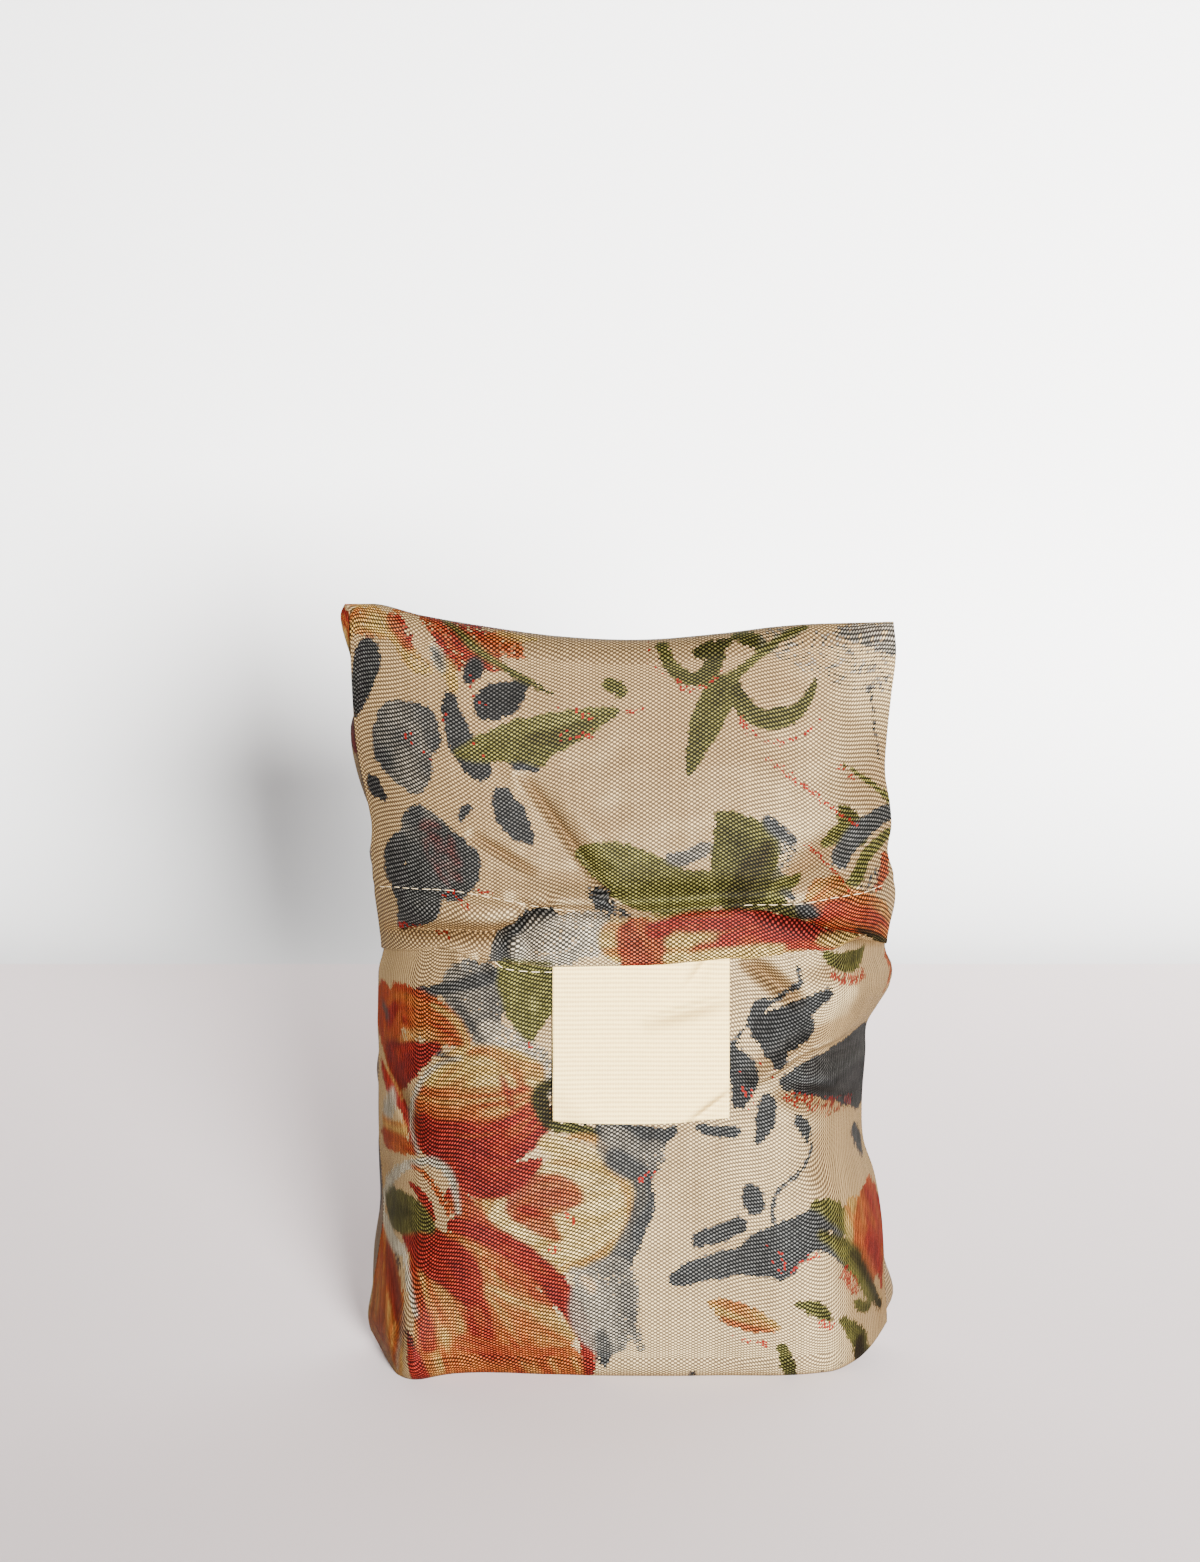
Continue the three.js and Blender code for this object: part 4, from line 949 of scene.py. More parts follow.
def skin(side, u, z):
    """Points of the pouch's outer skin, for shares of the half width and nominal heights."""
    real = real_height(u, z)
    edge = np.abs(u)
    turning = np.clip((edge - WRAP_FROM) / (1 - WRAP_FROM), 0, 1)
    bump = by_side(wrap, u, z) * np.sin(math.pi * turning) * (side == "back")
    x = np.sign(u) * by_side(outline, u, real) * (edge + bump)
    crown = 1 - edge ** power(z)
    held = np.minimum(1, SEAM_GIVE * crown) * fullness(z)
    folds = FRONT_FOLDS if side == "front" else BACK_FOLDS
    moved = relief(folds, x, real) * smoothstep(0, FOLDS_FULL, z)
    if side == "front":
        moved = moved + lumps(x, real)
    out = (SEAM + depth[side](z) * crown) * fullness(z) + moved * held
    out += creases(side, x, real, crown) * held
    return np.stack([x, -out if side == "front" else out, real], axis=-1)


def creases(side, x, z, crown):
    """Small unevenness of limp cloth: everywhere a little, and puckers along the side seams."""
    slack = soft_noise(x, z, SLACK[side]) + soft_noise(x + z, z - x, FINE_SLACK[side])
    pucker = soft_noise(x * SEAM_PUCKER_LONG, z, SEAM_PUCKERS[side])
    return slack + pucker * np.exp(-crown / SEAM_PUCKER_REACH)


def grid_normals(grid):
    """Normals on the side from which columns run to the right as rows run up."""
    across = np.gradient(grid, axis=1)
    above = np.gradient(grid, axis=0)
    normal = np.cross(across, above)
    return normal / np.maximum(np.linalg.norm(normal, axis=-1, keepdims=True), SMALL)


def column_shares():
    """The columns' places from seam to seam, from -1 to 1."""
    share = np.linspace(-1, 1, COLUMNS + 1)
    return np.sign(share) * (1 - (1 - np.abs(share)) ** CROWDING)


def quarter_turn(rows, reach):
    """Heights left to go over a quarter round, from its start to its crest."""
    return reach * (1 - np.sin(np.linspace(0, math.pi / 2, rows + 1)))


def strip_parts(rows):
    """The strip's outer surface in order along the cloth, as (part, points) pairs."""
    u = column_shares()[None, :]
    flap_low = nominal_height(u, flap_edge(u * by_side(outline, u, FLAP_LOW)))
    up = np.linspace(0, 1, rows.flap + 1)[:-1, None]
    flap = skin("front", u, flap_low + (TOP - TOP_ROUND - flap_low) * up)
    rounding = TOP - quarter_turn(rows.turn, TOP_ROUND)[:, None]
    down = np.linspace(TOP - TOP_ROUND, FOOT_ROUND, rows.back + 1)[1:-1, None]
    footing = quarter_turn(rows.foot, FOOT_ROUND)[:, None]
    foot_back = skin("back", u, footing)
    foot_front = skin("front", u, footing[::-1])
    share = np.linspace(0, 1, rows.sole + 1)[1:-1, None, None]
    pocket_high = nominal_height(u, POCKET_EDGE)
    up = np.linspace(0, 1, rows.pocket + 1)[1:, None]
    pocket = skin("front", u, FOOT_ROUND + (pocket_high - FOOT_ROUND) * up)
    return [
        ("flap", flap),
        ("top_front", skin("front", u, rounding)),
        ("top_back", skin("back", u, rounding[-2::-1])),
        ("back", skin("back", u, down)),
        ("foot_back", foot_back),
        ("sole", foot_back[-1][None] * (1 - share) + foot_front[0][None] * share),
        ("foot_front", foot_front),
        ("pocket", pocket),
    ]


def flap_stand(points):
    """How far the flap stands out from the skin: over the pocket's hem, the label and its own
    stitch line."""
    x, z = points[..., 0], points[..., 2]
    over = 1 - smoothstep(POCKET_EDGE + FLAP_HELD, POCKET_EDGE + FLAP_RELEASE, z)
    label_low, label_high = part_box("label")
    beyond = np.maximum(np.maximum(label_low[0] / MM - x, x - label_high[0] / MM), 0)
    by_label = 1 - smoothstep(LABEL_LIFT_FULL, LABEL_LIFT_GONE, beyond)
    lift = (FLAP_LIFT + LABEL_LIFT * by_label) * over
    from_line = z - stitch_line(x)
    dip = stitch_pull["dip"](x) * np.exp(-((from_line / DIP_REACH) ** 2))
    roll = stitch_pull["roll"](x) * np.exp(-(((from_line - ROLL_ABOVE) / ROLL_REACH) ** 2))
    pucker = soft_noise(x, z * STITCH_PUCKER_LONG, STITCH_PUCKERS)
    pucker = pucker * np.exp(-((from_line / STITCH_PUCKER_REACH) ** 2))
    return lift - dip + roll + pucker


def turned_hems(grid, rows):
    """The cloth turned under at the flap's hem, the roll at its edge, and the pocket's hem."""
    normal = grid_normals(grid)
    behind = slice(0, HEM_STEP * rows.hem + 1, HEM_STEP)
    under = grid[behind] - HEM_THICK * normal[behind]
    radius = HEM_THICK / 2
    angle = np.linspace(math.pi, 0, rows.roll + 2)[1:-1, None, None]
    fall = np.array([0, 0, -1])
    roll = grid[0] + normal[0] * radius * (np.cos(angle) - 1) + fall * radius * np.sin(angle)
    inside = len(grid) - TUCK_FROM - TUCK_STEP * np.arange(rows.tuck)
    tuck = grid[inside] - HEM_THICK * normal[inside]
    return under[::-1], roll, tuck


def shape_strip(rows):
    """The strip's points, row by row from the inner end of the flap's hem to that of the pocket's,
    and the first row of each part."""
    parts = strip_parts(rows)
    names = [name for name, points in parts]
    start = dict(zip(names, np.cumsum([0] + [len(points) for name, points in parts])))
    grid = np.concatenate([points for name, points in parts])
    flap = slice(0, start["top_front"])
    tight = 1 - LIFT_LOSS * np.abs(column_shares()) ** LIFT_LOSS_POWER
    stand = flap_stand(grid[flap]) * tight
    grid[flap] += grid_normals(grid)[flap] * stand[..., None]
    under, roll, tuck = turned_hems(grid, rows)
    before = len(under) + len(roll)
    start = {name: row + before for name, row in start.items()}
    start["tuck"] = before + len(grid)
    return np.concatenate([under, roll, grid, tuck]), start


def close_seams(grid):
    """Rounds each side seam over, and turns the cloth's edge in to meet the other side's."""
    sides = []
    for column, outward in ((0, -1), (-1, 1)):
        edge = grid[:, column]
        made = [edge * (1, turn.depth, 1) + (outward * turn.out, 0, 0) for turn in SEAM_TURN]
        sides.append(np.stack(made[::outward], axis=1))
    return np.concatenate([sides[0], grid, sides[1]], axis=1)


def seam_columns(values):
    """Values for the columns that close_seams adds, the same as at each seam."""
    left = np.repeat(values[:, :1], len(SEAM_TURN), axis=1)
    right = np.repeat(values[:, -1:], len(SEAM_TURN), axis=1)
    return np.concatenate([left, values, right], axis=1)


def flat_lengths(grid):
    """Each point's place on the flat cloth: across from the middle, and along the strip."""
    across = np.linalg.norm(np.diff(grid, axis=1), axis=-1)
    s = np.concatenate([np.zeros((len(grid), 1)), np.cumsum(across, axis=1)], axis=1)
    middle = grid.shape[1] // 2
    s -= s[:, middle : middle + 1]
    along = np.linalg.norm(np.diff(grid, axis=0), axis=-1)
    t = np.concatenate([np.zeros((1, grid.shape[1])), np.cumsum(along, axis=0)], axis=0)
    even = smoothed(np.stack([s, t], axis=-1), FLAT_PASSES)
    return even[..., 0], even[..., 1]


def seen_places(points):
    """Where points lie in the photo, in its pixels to the right and down."""
    x, y, z = (points[..., axis] - CAMERA_AIM[axis] for axis in range(3))
    away = CAMERA_AWAY + y * math.cos(CAMERA_PITCH) - z * math.sin(CAMERA_PITCH)
    up = z * math.cos(CAMERA_PITCH) + y * math.sin(CAMERA_PITCH)
    scale = CAMERA_AWAY / (PIXEL * away)
    return PHOTO_WIDE / 2 + scale * x, PHOTO_TALL / 2 - scale * up


def moved_row(row, move, scale):
    """A row of a print table with each of its three places moved, and its widths scaled."""
    new = {width: getattr(row, width) * scale for width in ("start", "middle", "end")}
    for place in "012":
        x, y = getattr(row, "x" + place), getattr(row, "y" + place)
        new["x" + place], new["y" + place] = move(x, y)
    return row._replace(**new)


def laid_on_cloth(rows, points, s, h):
    """Rows read in the photo, moved to the cloth: each place to the nearest of the strip's own."""
    right, down = seen_places(points)

    def move(x, y):
        off = np.hypot(right - x, down - y)
        nearest = np.unravel_index(np.argmin(off), off.shape)
        return s[nearest], h[nearest]

    return [moved_row(row, move, PIXEL) for row in rows]


def brush_line(row):
    """Places and half widths along the smooth line of a stroke."""
    share = np.linspace(0, 1, BRUSH_STEPS)
    first = (1 - share) * (1 - 2 * share)
    second = 4 * share * (1 - share)
    third = share * (2 * share - 1)
    s = first * row.x0 + second * row.x1 + third * row.x2
    h = first * row.y0 + second * row.y1 + third * row.y2
    half = (first * row.start + second * row.middle + third * row.end) / 2
    return s, h, np.maximum(half, min(row.start, row.middle, row.end) / 2)


def widest(row):
    return max(row.start, row.middle, row.end)


def brushed(row, s, h):
    """How deep in a stroke each place lies, its share of the way along, and its place across, from
    -1 to 1."""
    line_s, line_h, half = brush_line(row)
    run_s, run_h = np.diff(line_s), np.diff(line_h)
    length = np.maximum(np.hypot(run_s, run_h), SMALL)
    off_s, off_h = s[:, None] - line_s[:-1], h[:, None] - line_h[:-1]
    share = np.clip((off_s * run_s + off_h * run_h) / length**2, 0, 1)
    radius = half[:-1] + share * np.diff(half)
    deep = radius - np.hypot(off_s - share * run_s, off_h - share * run_h)
    best = np.argmax(deep, axis=1)
    at = np.arange(len(s))
    aside = (run_s * off_h - run_h * off_s) / length
    across = np.clip(aside[at, best] / np.maximum(radius[at, best], THINNEST), -1, 1)
    return deep[at, best], (best + share[at, best]) / (BRUSH_STEPS - 1), across


def near_stroke(row, s, h):
    """The places near enough to a stroke to take its ink."""
    line_s, line_h, half = brush_line(row)
    reach = half.max() + NEAR_STROKE
    return np.flatnonzero(
        (s > line_s.min() - reach)
        & (s < line_s.max() + reach)
        & (h > line_h.min() - reach)
        & (h < line_h.max() + reach)
    )


def ink_color(ink, tone):
    """The dye's red, green and blue at each tone."""
    stops = INKS[ink]
    at = [stop.at for stop in stops]
    channels = [
        np.interp(tone, at, [getattr(stop, channel) / 100 for stop in stops])
        for channel in ("red", "green", "blue")
    ]
    return np.stack(channels, axis=-1)


def paint(s, h, strokes):
    """The colour and the cover of the ink at each place, after all the strokes in their order."""
    color = np.zeros((len(s), 3))
    cover = np.zeros(len(s))
    wobble = soft_noise(s, h, WOBBLE) + soft_noise(s, h, FINE_WOBBLE)
    cloudy = soft_noise(s, h, CLOUDS)
    clumps = soft_noise(s, h, CLUMPS)
    for number, row in enumerate(strokes):
        near = near_stroke(row, s, h)
        if not len(near):
            continue
        deep, along, across = brushed(row, s[near], h[near])
        edge = deep + wobble[near] * min(1, widest(row) / WOBBLE_WIDE)
        laid = smoothstep(-SOFT_EDGE, SOFT_EDGE, edge)
        laid = laid * np.clip(row.cover + (1 - row.cover) * clumps[near], 0, 1)
        tone = row.left + (row.right - row.left) * (across + 1) / 2
        tone = tone + grain(row, number, along, across, cloudy[near])
        ink = ink_color(row.ink, np.clip(tone, 0, 1))
        kept = cover[near] * (1 - laid)
        total = laid + kept
        mixed = ink * laid[:, None] + color[near] * kept[:, None]
        color[near] = mixed / np.maximum(total, SMALL)[:, None]
        cover[near] = total
    return color, cover


def grain(row, number, along, across, cloudy):
    """How the tone varies within a stroke: a petal is streaked along its length, a leaf is darker
    on its midrib."""
    wide = widest(row)
    if row.ink == "flower":
        length = math.hypot(row.x2 - row.x0, row.y2 - row.y0)
        place = across * wide / 2 + STROKE_APART * number
        streaks = soft_noise(place, along * length / STREAK_STRETCH, STREAKS)
        return streaks * min(1, wide / STREAK_WIDE) + PETAL_CLOUD * cloudy
    if row.ink == "leaf":
        midrib = MIDRIB * np.exp(-((across / MIDRIB_HALF) ** 2)) * min(1, wide / MIDRIB_WIDE)
        return INK_CLOUD * cloudy + midrib
    return INK_CLOUD * cloudy


def sprinkle(s, h, rows):
    """The cover of the red dots at each place."""
    total = np.zeros(len(s))
    for row in rows:
        near = near_stroke(row, s, h)
        if len(near):
            deep, along, across = brushed(row, s[near], h[near])
            laid = row.cover * smoothstep(-DOT_EDGE, DOT_EDGE, deep)
            total[near] = np.maximum(total[near], laid)
    return total


def blossom_strokes(blossom):
    """Petals round a flower's eye, each pale at its heart and red at its sides, and the eye."""
    made = []
    wide = blossom.reach * PETAL_WIDE / blossom.petals
    for number in range(blossom.petals):
        angle = blossom.turn + number * 2 * math.pi / blossom.petals
        cos, sin = blossom.reach * math.cos(angle), blossom.reach * math.sin(angle)

        def turned(out, aside):
            return blossom.s + out * cos - aside * sin, blossom.h + out * sin + aside * cos

        made += [moved_row(row, turned, wide) for row in PETAL]
    return made + [moved_row(row, lambda x, y: (blossom.s + x, blossom.h + y), 1) for row in EYE]


def print_panel(s, h, strokes, dots):
    """The ink on one panel: its colour with its cover, and the cover of its red dots."""
    color, cover = paint(s.ravel(), h.ravel(), strokes)
    rgba = np.concatenate([color, cover[:, None]], axis=1)
    return rgba.reshape(*s.shape, 4), sprinkle(s.ravel(), h.ravel(), dots).reshape(s.shape)


def print_strip(grid, s, t, start):
    """The ink over the whole strip, panel by panel."""
    top, foot = start["top_back"], start["sole"]
    from_top = t[top - 1] - t
    from_foot = t - t[start["foot_front"]]
    seen = slice(start["flap"], top)
    flap = [
        laid_on_cloth(rows, grid[seen], s[seen], from_top[seen]) for rows in (FLAP_PRINT, FLAP_DOTS)
    ]
    seen = slice(start["foot_front"] - FOOT_ROWS_SEEN, start["tuck"])
    pocket = [
        laid_on_cloth(rows, grid[seen], s[seen], from_foot[seen]) for rows in (POCKET_PRINT, POCKET_DOTS)
    ]
    blossoms = [stroke for blossom in BACK_BLOSSOMS for stroke in blossom_strokes(blossom)]
    back = [BACK_UNDER + blossoms + BACK_OVER, BACK_DOTS]
    panels = [
        print_panel(s[:top], from_top[:top], *flap),
        print_panel(s[top:foot], -from_top[top:foot], *back),
        print_panel(s[foot:], from_foot[foot:], *pocket),
    ]
    return [np.concatenate(parts) for parts in zip(*panels)]


def new_mesh(name, points, faces, flat_faces=0):
    """A mesh from points in millimetres, smooth shaded apart from its last few faces."""
    mesh = bpy.data.meshes.new(name)
    mesh.from_pydata((points * MM).tolist(), [], faces)
    mesh.polygons.foreach_set("use_smooth", np.arange(len(faces)) < len(faces) - flat_faces)
    mesh.update()
    return mesh


def grid_faces(rows, columns):
    """Quads between the points of a grid, by their numbers."""
    corner = np.arange(rows * columns).reshape(rows, columns)
    quads = [corner[:-1, :-1], corner[:-1, 1:], corner[1:, 1:], corner[1:, :-1]]
    return np.stack(quads, axis=-1).reshape(-1, 4)


def grid_mesh(name, grid):
    return new_mesh(name, grid.reshape(-1, 3), grid_faces(*grid.shape[:2]).tolist())


def closed_sheet_mesh(name, front, back):
    """A thin closed sheet between two grids of points."""
    rows, columns = front.shape[:2]
    count = rows * columns
    corner = np.arange(count).reshape(rows, columns)
    ahead = grid_faces(rows, columns)
    behind = ahead[:, ::-1] + count
    rim = np.concatenate([corner[0, :-1], corner[:-1, -1], corner[-1, :0:-1], corner[:0:-1, 0]])
    after = np.roll(rim, -1)
    sides = np.stack([after, rim, rim + count, after + count], axis=-1)
    faces = np.concatenate([ahead, behind, sides])
    points = np.concatenate([front.reshape(-1, 3), back.reshape(-1, 3)])
    return new_mesh(name, points, faces.tolist(), len(sides))


def add_uv(mesh, u, v):
    """The cloth's own coordinates in millimetres, for the weave."""
    layer = mesh.uv_layers.new(name="cloth")
    vertex = np.empty(len(mesh.loops), np.int32)
    mesh.loops.foreach_get("vertex_index", vertex)
    pairs = np.stack([u.ravel()[vertex], v.ravel()[vertex]], axis=-1)
    layer.data.foreach_set("uv", pairs.ravel().astype(np.float32))


def trough_share(grid, start):
    """How deep each place lies in one of the folds, from 0 to 1."""
    x, z = grid[..., 0], grid[..., 2]
    back = slice(start["top_back"], start["sole"])
    risen = relief(FRONT_FOLDS, x, z)
    risen[back] = relief(BACK_FOLDS, x[back], z[back])
    return np.clip(-risen / TROUGH_DEEP, 0, 1)


def painted_shade_share(grid, start):
    """How much painted shade each place gets, from 0 to 1: in a hollow, in a fold's trough and where it is
    turned away from the light.
    """
    normal = grid_normals(grid)
    around = smoothed(grid, HOLLOW_PASSES)
    hollow = np.clip(((around - grid) * normal).sum(axis=-1) / HOLLOW_DEEP, 0, 1)
    right, out, up = PAINTED_SHEEN_FACING
    facing = right * normal[..., 0] + out * np.abs(normal[..., 1]) + up * normal[..., 2]
    turned = smoothstep(PAINTED_SHEEN_FULL, PAINTED_SHEEN_GONE, facing)
    in_fold = 1 - (1 - hollow) * (1 - TROUGH_LOSS * trough_share(grid, start))
    return 1 - (1 - in_fold) * (1 - TURNED_LOSS * turned)


def add_share(mesh, name, values):
    share = mesh.attributes.new(name, "FLOAT", "POINT")
    share.data.foreach_set("value", values.reshape(-1).astype(np.float32))


def add_print(mesh, rgba):
    colors = mesh.color_attributes.new(name="print", type="FLOAT_COLOR", domain="POINT")
    colors.data.foreach_set("color", rgba.reshape(-1).astype(np.float32))


def add_object(name, mesh, material):
    made = bpy.data.objects.new(name, mesh)
    bpy.context.scene.collection.objects.link(made)
    mesh.materials.append(material)
    return made


class Graph:
    """Short calls for wiring a material's nodes."""

    def __init__(self, name):
        self.material = bpy.data.materials.new(name)
        self.material.use_nodes = True
        self.nodes = self.material.node_tree.nodes
        self.nodes.clear()
        self.output = self.nodes.new("ShaderNodeOutputMaterial")

    def put(self, socket, value):
        if isinstance(value, bpy.types.NodeSocket):
            self.material.node_tree.links.new(value, socket)
        else:
            socket.default_value = value

    def math(self, operation, a, b=0.0):
        node = self.nodes.new("ShaderNodeMath")
        node.operation = operation
        self.put(node.inputs[0], a)
        self.put(node.inputs[1], b)
        return node.outputs[0]

    def scale_add(self, value, factor, offset=0.0):
        node = self.nodes.new("ShaderNodeMath")
        node.operation = "MULTIPLY_ADD"
        for socket, given in zip(node.inputs, (value, factor, offset)):
            self.put(socket, given)
        return node.outputs[0]

    def spread(self, value, span):
        """A value from 0 to 1 taken to the span."""
        return self.scale_add(value, span.high - span.low, span.low)

    def step(self, value, span):
        """0 below the span and 1 above it."""
        node = self.nodes.new("ShaderNodeMapRange")
        node.interpolation_type = "SMOOTHSTEP"
        self.put(node.inputs["Value"], value)
        self.put(node.inputs["From Min"], span.low)
        self.put(node.inputs["From Max"], span.high)
        return node.outputs["Result"]

    def mix(self, factor, a, b):
        node = self.nodes.new("ShaderNodeMix")
        node.data_type = "RGBA"
        for socket, given in zip(self.color_sockets(node.inputs), (factor, a, b)):
            self.put(socket, given)
        return self.color_sockets(node.outputs)[0]

    def color_sockets(self, sockets):
        """A mix node's own for a factor and colours, among those that it has for other kinds."""
        return [socket for socket in sockets if socket.identifier in MIX_SOCKETS]

    def brighten(self, color, factor):
        node = self.nodes.new("ShaderNodeVectorMath")
        node.operation = "SCALE"
        self.put(node.inputs[0], color)
        self.put(node.inputs["Scale"], factor)
        return node.outputs[0]

    def combine(self, operation, a, b):
        node = self.nodes.new("ShaderNodeVectorMath")
        node.operation = operation
        self.put(node.inputs[0], a)
        self.put(node.inputs[1], b)
        return node.outputs[0]

    def vector(self, x, y, z=0.0):
        node = self.nodes.new("ShaderNodeCombineXYZ")
        for socket, given in zip(node.inputs, (x, y, z)):
            self.put(socket, given)
        return node.outputs[0]

    def noise(self, vector, scale, detail=2.0):
        node = self.nodes.new("ShaderNodeTexNoise")
        self.put(node.inputs["Vector"], vector)
        self.put(node.inputs["Scale"], scale)
        self.put(node.inputs["Detail"], detail)
        return node.outputs["Fac"]

    def random(self, x, y):
        node = self.nodes.new("ShaderNodeTexWhiteNoise")
        node.noise_dimensions = "2D"
        self.put(node.inputs["Vector"], self.vector(x, y))
        return node.outputs["Value"]

    def cloth_place(self):
        """The cloth's own coordinates, in millimetres."""
        place = self.nodes.new("ShaderNodeUVMap")
        place.uv_map = "cloth"
        parts = self.nodes.new("ShaderNodeSeparateXYZ")
        self.put(parts.inputs[0], place.outputs[0])
        return parts.outputs[0], parts.outputs[1]

    def attribute(self, name):
        node = self.nodes.new("ShaderNodeAttribute")
        node.attribute_name = name
        return node

    def bump(self, height, strength, distance):
        node = self.nodes.new("ShaderNodeBump")
        node.inputs["Strength"].default_value = strength
        node.inputs["Distance"].default_value = distance
        self.put(node.inputs["Height"], height)
        return node.outputs["Normal"]

    def surface(self, **sockets):
        node = self.nodes.new("ShaderNodeBsdfPrincipled")
        for name, given in sockets.items():
            self.put(node.inputs[name.replace("_", " ")], given)
        self.put(self.output.inputs["Surface"], node.outputs[0])
        return self.material


def crossing_threads(graph, across, along):
    """How far the front thread stands out at each place, and the numbers of the two threads."""
    warp = graph.math("MULTIPLY", across, 1 / THREAD[0])
    weft = graph.math("MULTIPLY", along, 1 / THREAD[1])
    warp_wave = graph.math("SINE", graph.math("MULTIPLY", warp, math.pi))
    weft_wave = graph.math("SINE", graph.math("MULTIPLY", weft, math.pi))
    crossing = graph.math("MULTIPLY", warp_wave, weft_wave)
    return crossing, graph.math("FLOOR", warp), graph.math("FLOOR", weft)


def inked_threads(graph, place, warp, weft, cover):
    """1 on the crossings that take the ink, by lot and in patches."""
    lot = graph.spread(graph.random(warp, weft), INK_LOT)
    lot = graph.math("ADD", lot, graph.spread(graph.noise(place, INK_PATCH_SCALE), INK_PATCHES))
    return graph.math("LESS_THAN", lot, graph.spread(cover, COVERED))


def uneven_threads(graph, place, warp, weft):
    """How bright each place is for its threads and for soft clouds in the cloth."""
    threads = graph.math("ADD", graph.random(warp, WARP_LOT), graph.random(weft, WEFT_LOT))
    clouds = graph.spread(graph.noise(place, CLOTH_CLOUD_SCALE), CLOTH_CLOUDS)
    return graph.math("ADD", clouds, graph.spread(threads, THREADS_APART))


def printed_cloth(settings):
    """Silky plain weave with its print: ink takes some threads and leaves others bare. The threads' crowns
    are painted lighter, a painted highlight, and the gaps between them darker, a painted shade.
    """
    graph = Graph("printed_cloth")
    across, along = graph.cloth_place()
    place = graph.vector(across, along)
    crossing, warp, weft = crossing_threads(graph, across, along)
    print_node = graph.attribute("print")
    ink = print_node.outputs["Color"]
    inked = inked_threads(graph, place, warp, weft, print_node.outputs["Alpha"])
    speck = graph.spread(graph.random(weft, warp), SPECKS)
    # crowns with a painted highlight, gaps with painted shade
    high = graph.mix(inked, settings.thread, dyed_crowns(graph, settings, ink, speck))
    low = graph.mix(inked, settings.gap, graph.brighten(ink, GAP_LEFT))
    woven = graph.mix(graph.step(crossing, CROWNS), low, high)
    woven = graph.mix(red_dots(graph, across, along), woven, settings.red_dot)
    woven = graph.brighten(woven, uneven_threads(graph, place, warp, weft))
    return graph.surface(
        # the woven colour times the painted shade
        Base_Color=graph.combine("MULTIPLY", woven, fold_shade(graph, inked)),
        Metallic=0.12,
        Roughness=0.6,
        Specular_IOR_Level=0.03,
        Normal=graph.bump(crossing, WEAVE_BUMP, WEAVE_DEEP),
    )


def dyed_crowns(graph, settings, ink, speck):
    """The colour of dyed threads' crowns, brightened as a painted highlight, with a little of the bare
    thread's painted shine.
    """
    dyed = graph.brighten(ink, graph.math("MULTIPLY", speck, CROWN_HIGHLIGHT_GAIN))
    return graph.combine("ADD", dyed, graph.brighten(settings.thread[:3], CROWN_PAINTED_SHINE))


def fold_shade(graph, inked):
    """Painted shade: the colour darkened in folds, in hollows and where the cloth turns from the light,
    less of it on dyed threads.
    """
    dull = graph.attribute("dull").outputs["Fac"]
    dull = graph.math("MULTIPLY", dull, graph.scale_add(inked, -DYED_SHARE, 1))
    return graph.mix(dull, FULL_LIGHT, FOLD_SHADE)


def red_dots(graph, across, along):
    """1 on the small red dots, one in the middle of each cell that the lot falls on."""
    column = graph.math("MULTIPLY", across, 1 / DOT_CELL)
    row = graph.math("MULTIPLY", along, 1 / DOT_CELL)
    lot = graph.random(graph.math("FLOOR", column), graph.math("FLOOR", row))
    chosen = graph.math("LESS_THAN", lot, graph.attribute("red_dots").outputs["Fac"])
    off_column = graph.math("ABSOLUTE", graph.scale_add(graph.math("FRACT", column), 1, -0.5))
    off_row = graph.math("ABSOLUTE", graph.scale_add(graph.math("FRACT", row), 1, -0.5))
    inside = graph.math("LESS_THAN", graph.math("MAXIMUM", off_column, off_row), DOT_HALF)
    return graph.math("MULTIPLY", chosen, inside)


def label_cotton(settings):
    """Off-white cotton tape with fine ribs across it, painted darker in the grooves between the ribs and
    on the sides of its creases that face down: painted shade.
    """
    graph = Graph("label_cotton")
    across, along = graph.cloth_place()
    sway = graph.noise(graph.vector(across, along), RIB_SWAY_SCALE)
    rib = graph.math("SINE", graph.scale_add(along, 2 * math.pi / RIB, sway))
    thread = graph.math("SINE", graph.math("MULTIPLY", across, 2 * math.pi / RIB_THREAD))
    height = graph.math("ADD", rib, graph.scale_add(thread, RIB_THREAD_HIGH))
    lot = graph.random(
        graph.math("FLOOR", graph.math("MULTIPLY", across, 1 / RIB_THREAD)),
        graph.math("FLOOR", graph.math("MULTIPLY", along, 1 / RIB)),
    )
    color = graph.mix(graph.step(height, RIB_HEIGHTS), settings.groove, settings.rib)
    color = graph.brighten(color, graph.spread(lot, COTTON_UNEVEN))
    # painted shade on the sides of the creases that face down
    shade = graph.mix(graph.attribute("shaded").outputs["Fac"], FULL_LIGHT, CREASE_SHADE)
    return graph.surface(
        Base_Color=graph.combine("MULTIPLY", color, shade),
        Roughness=0.85,
        Specular_IOR_Level=0.2,
        Normal=graph.bump(height, COTTON_BUMP, COTTON_DEEP),
    )


def plain_thread(name, color):
    graph = Graph(name)
    return graph.surface(Base_Color=color, Roughness=0.8, Specular_IOR_Level=0.1)


def crease_shade(x, z):
    """How far the label's creases turn its face down at each place, from 0 to 1."""
    lower = relief(LABEL_FOLDS, x, z - CREASE_STEP)
    slope = (relief(LABEL_FOLDS, x, z) - lower) / CREASE_STEP
    return np.clip(slope / CREASE_STEEP, 0, 1)


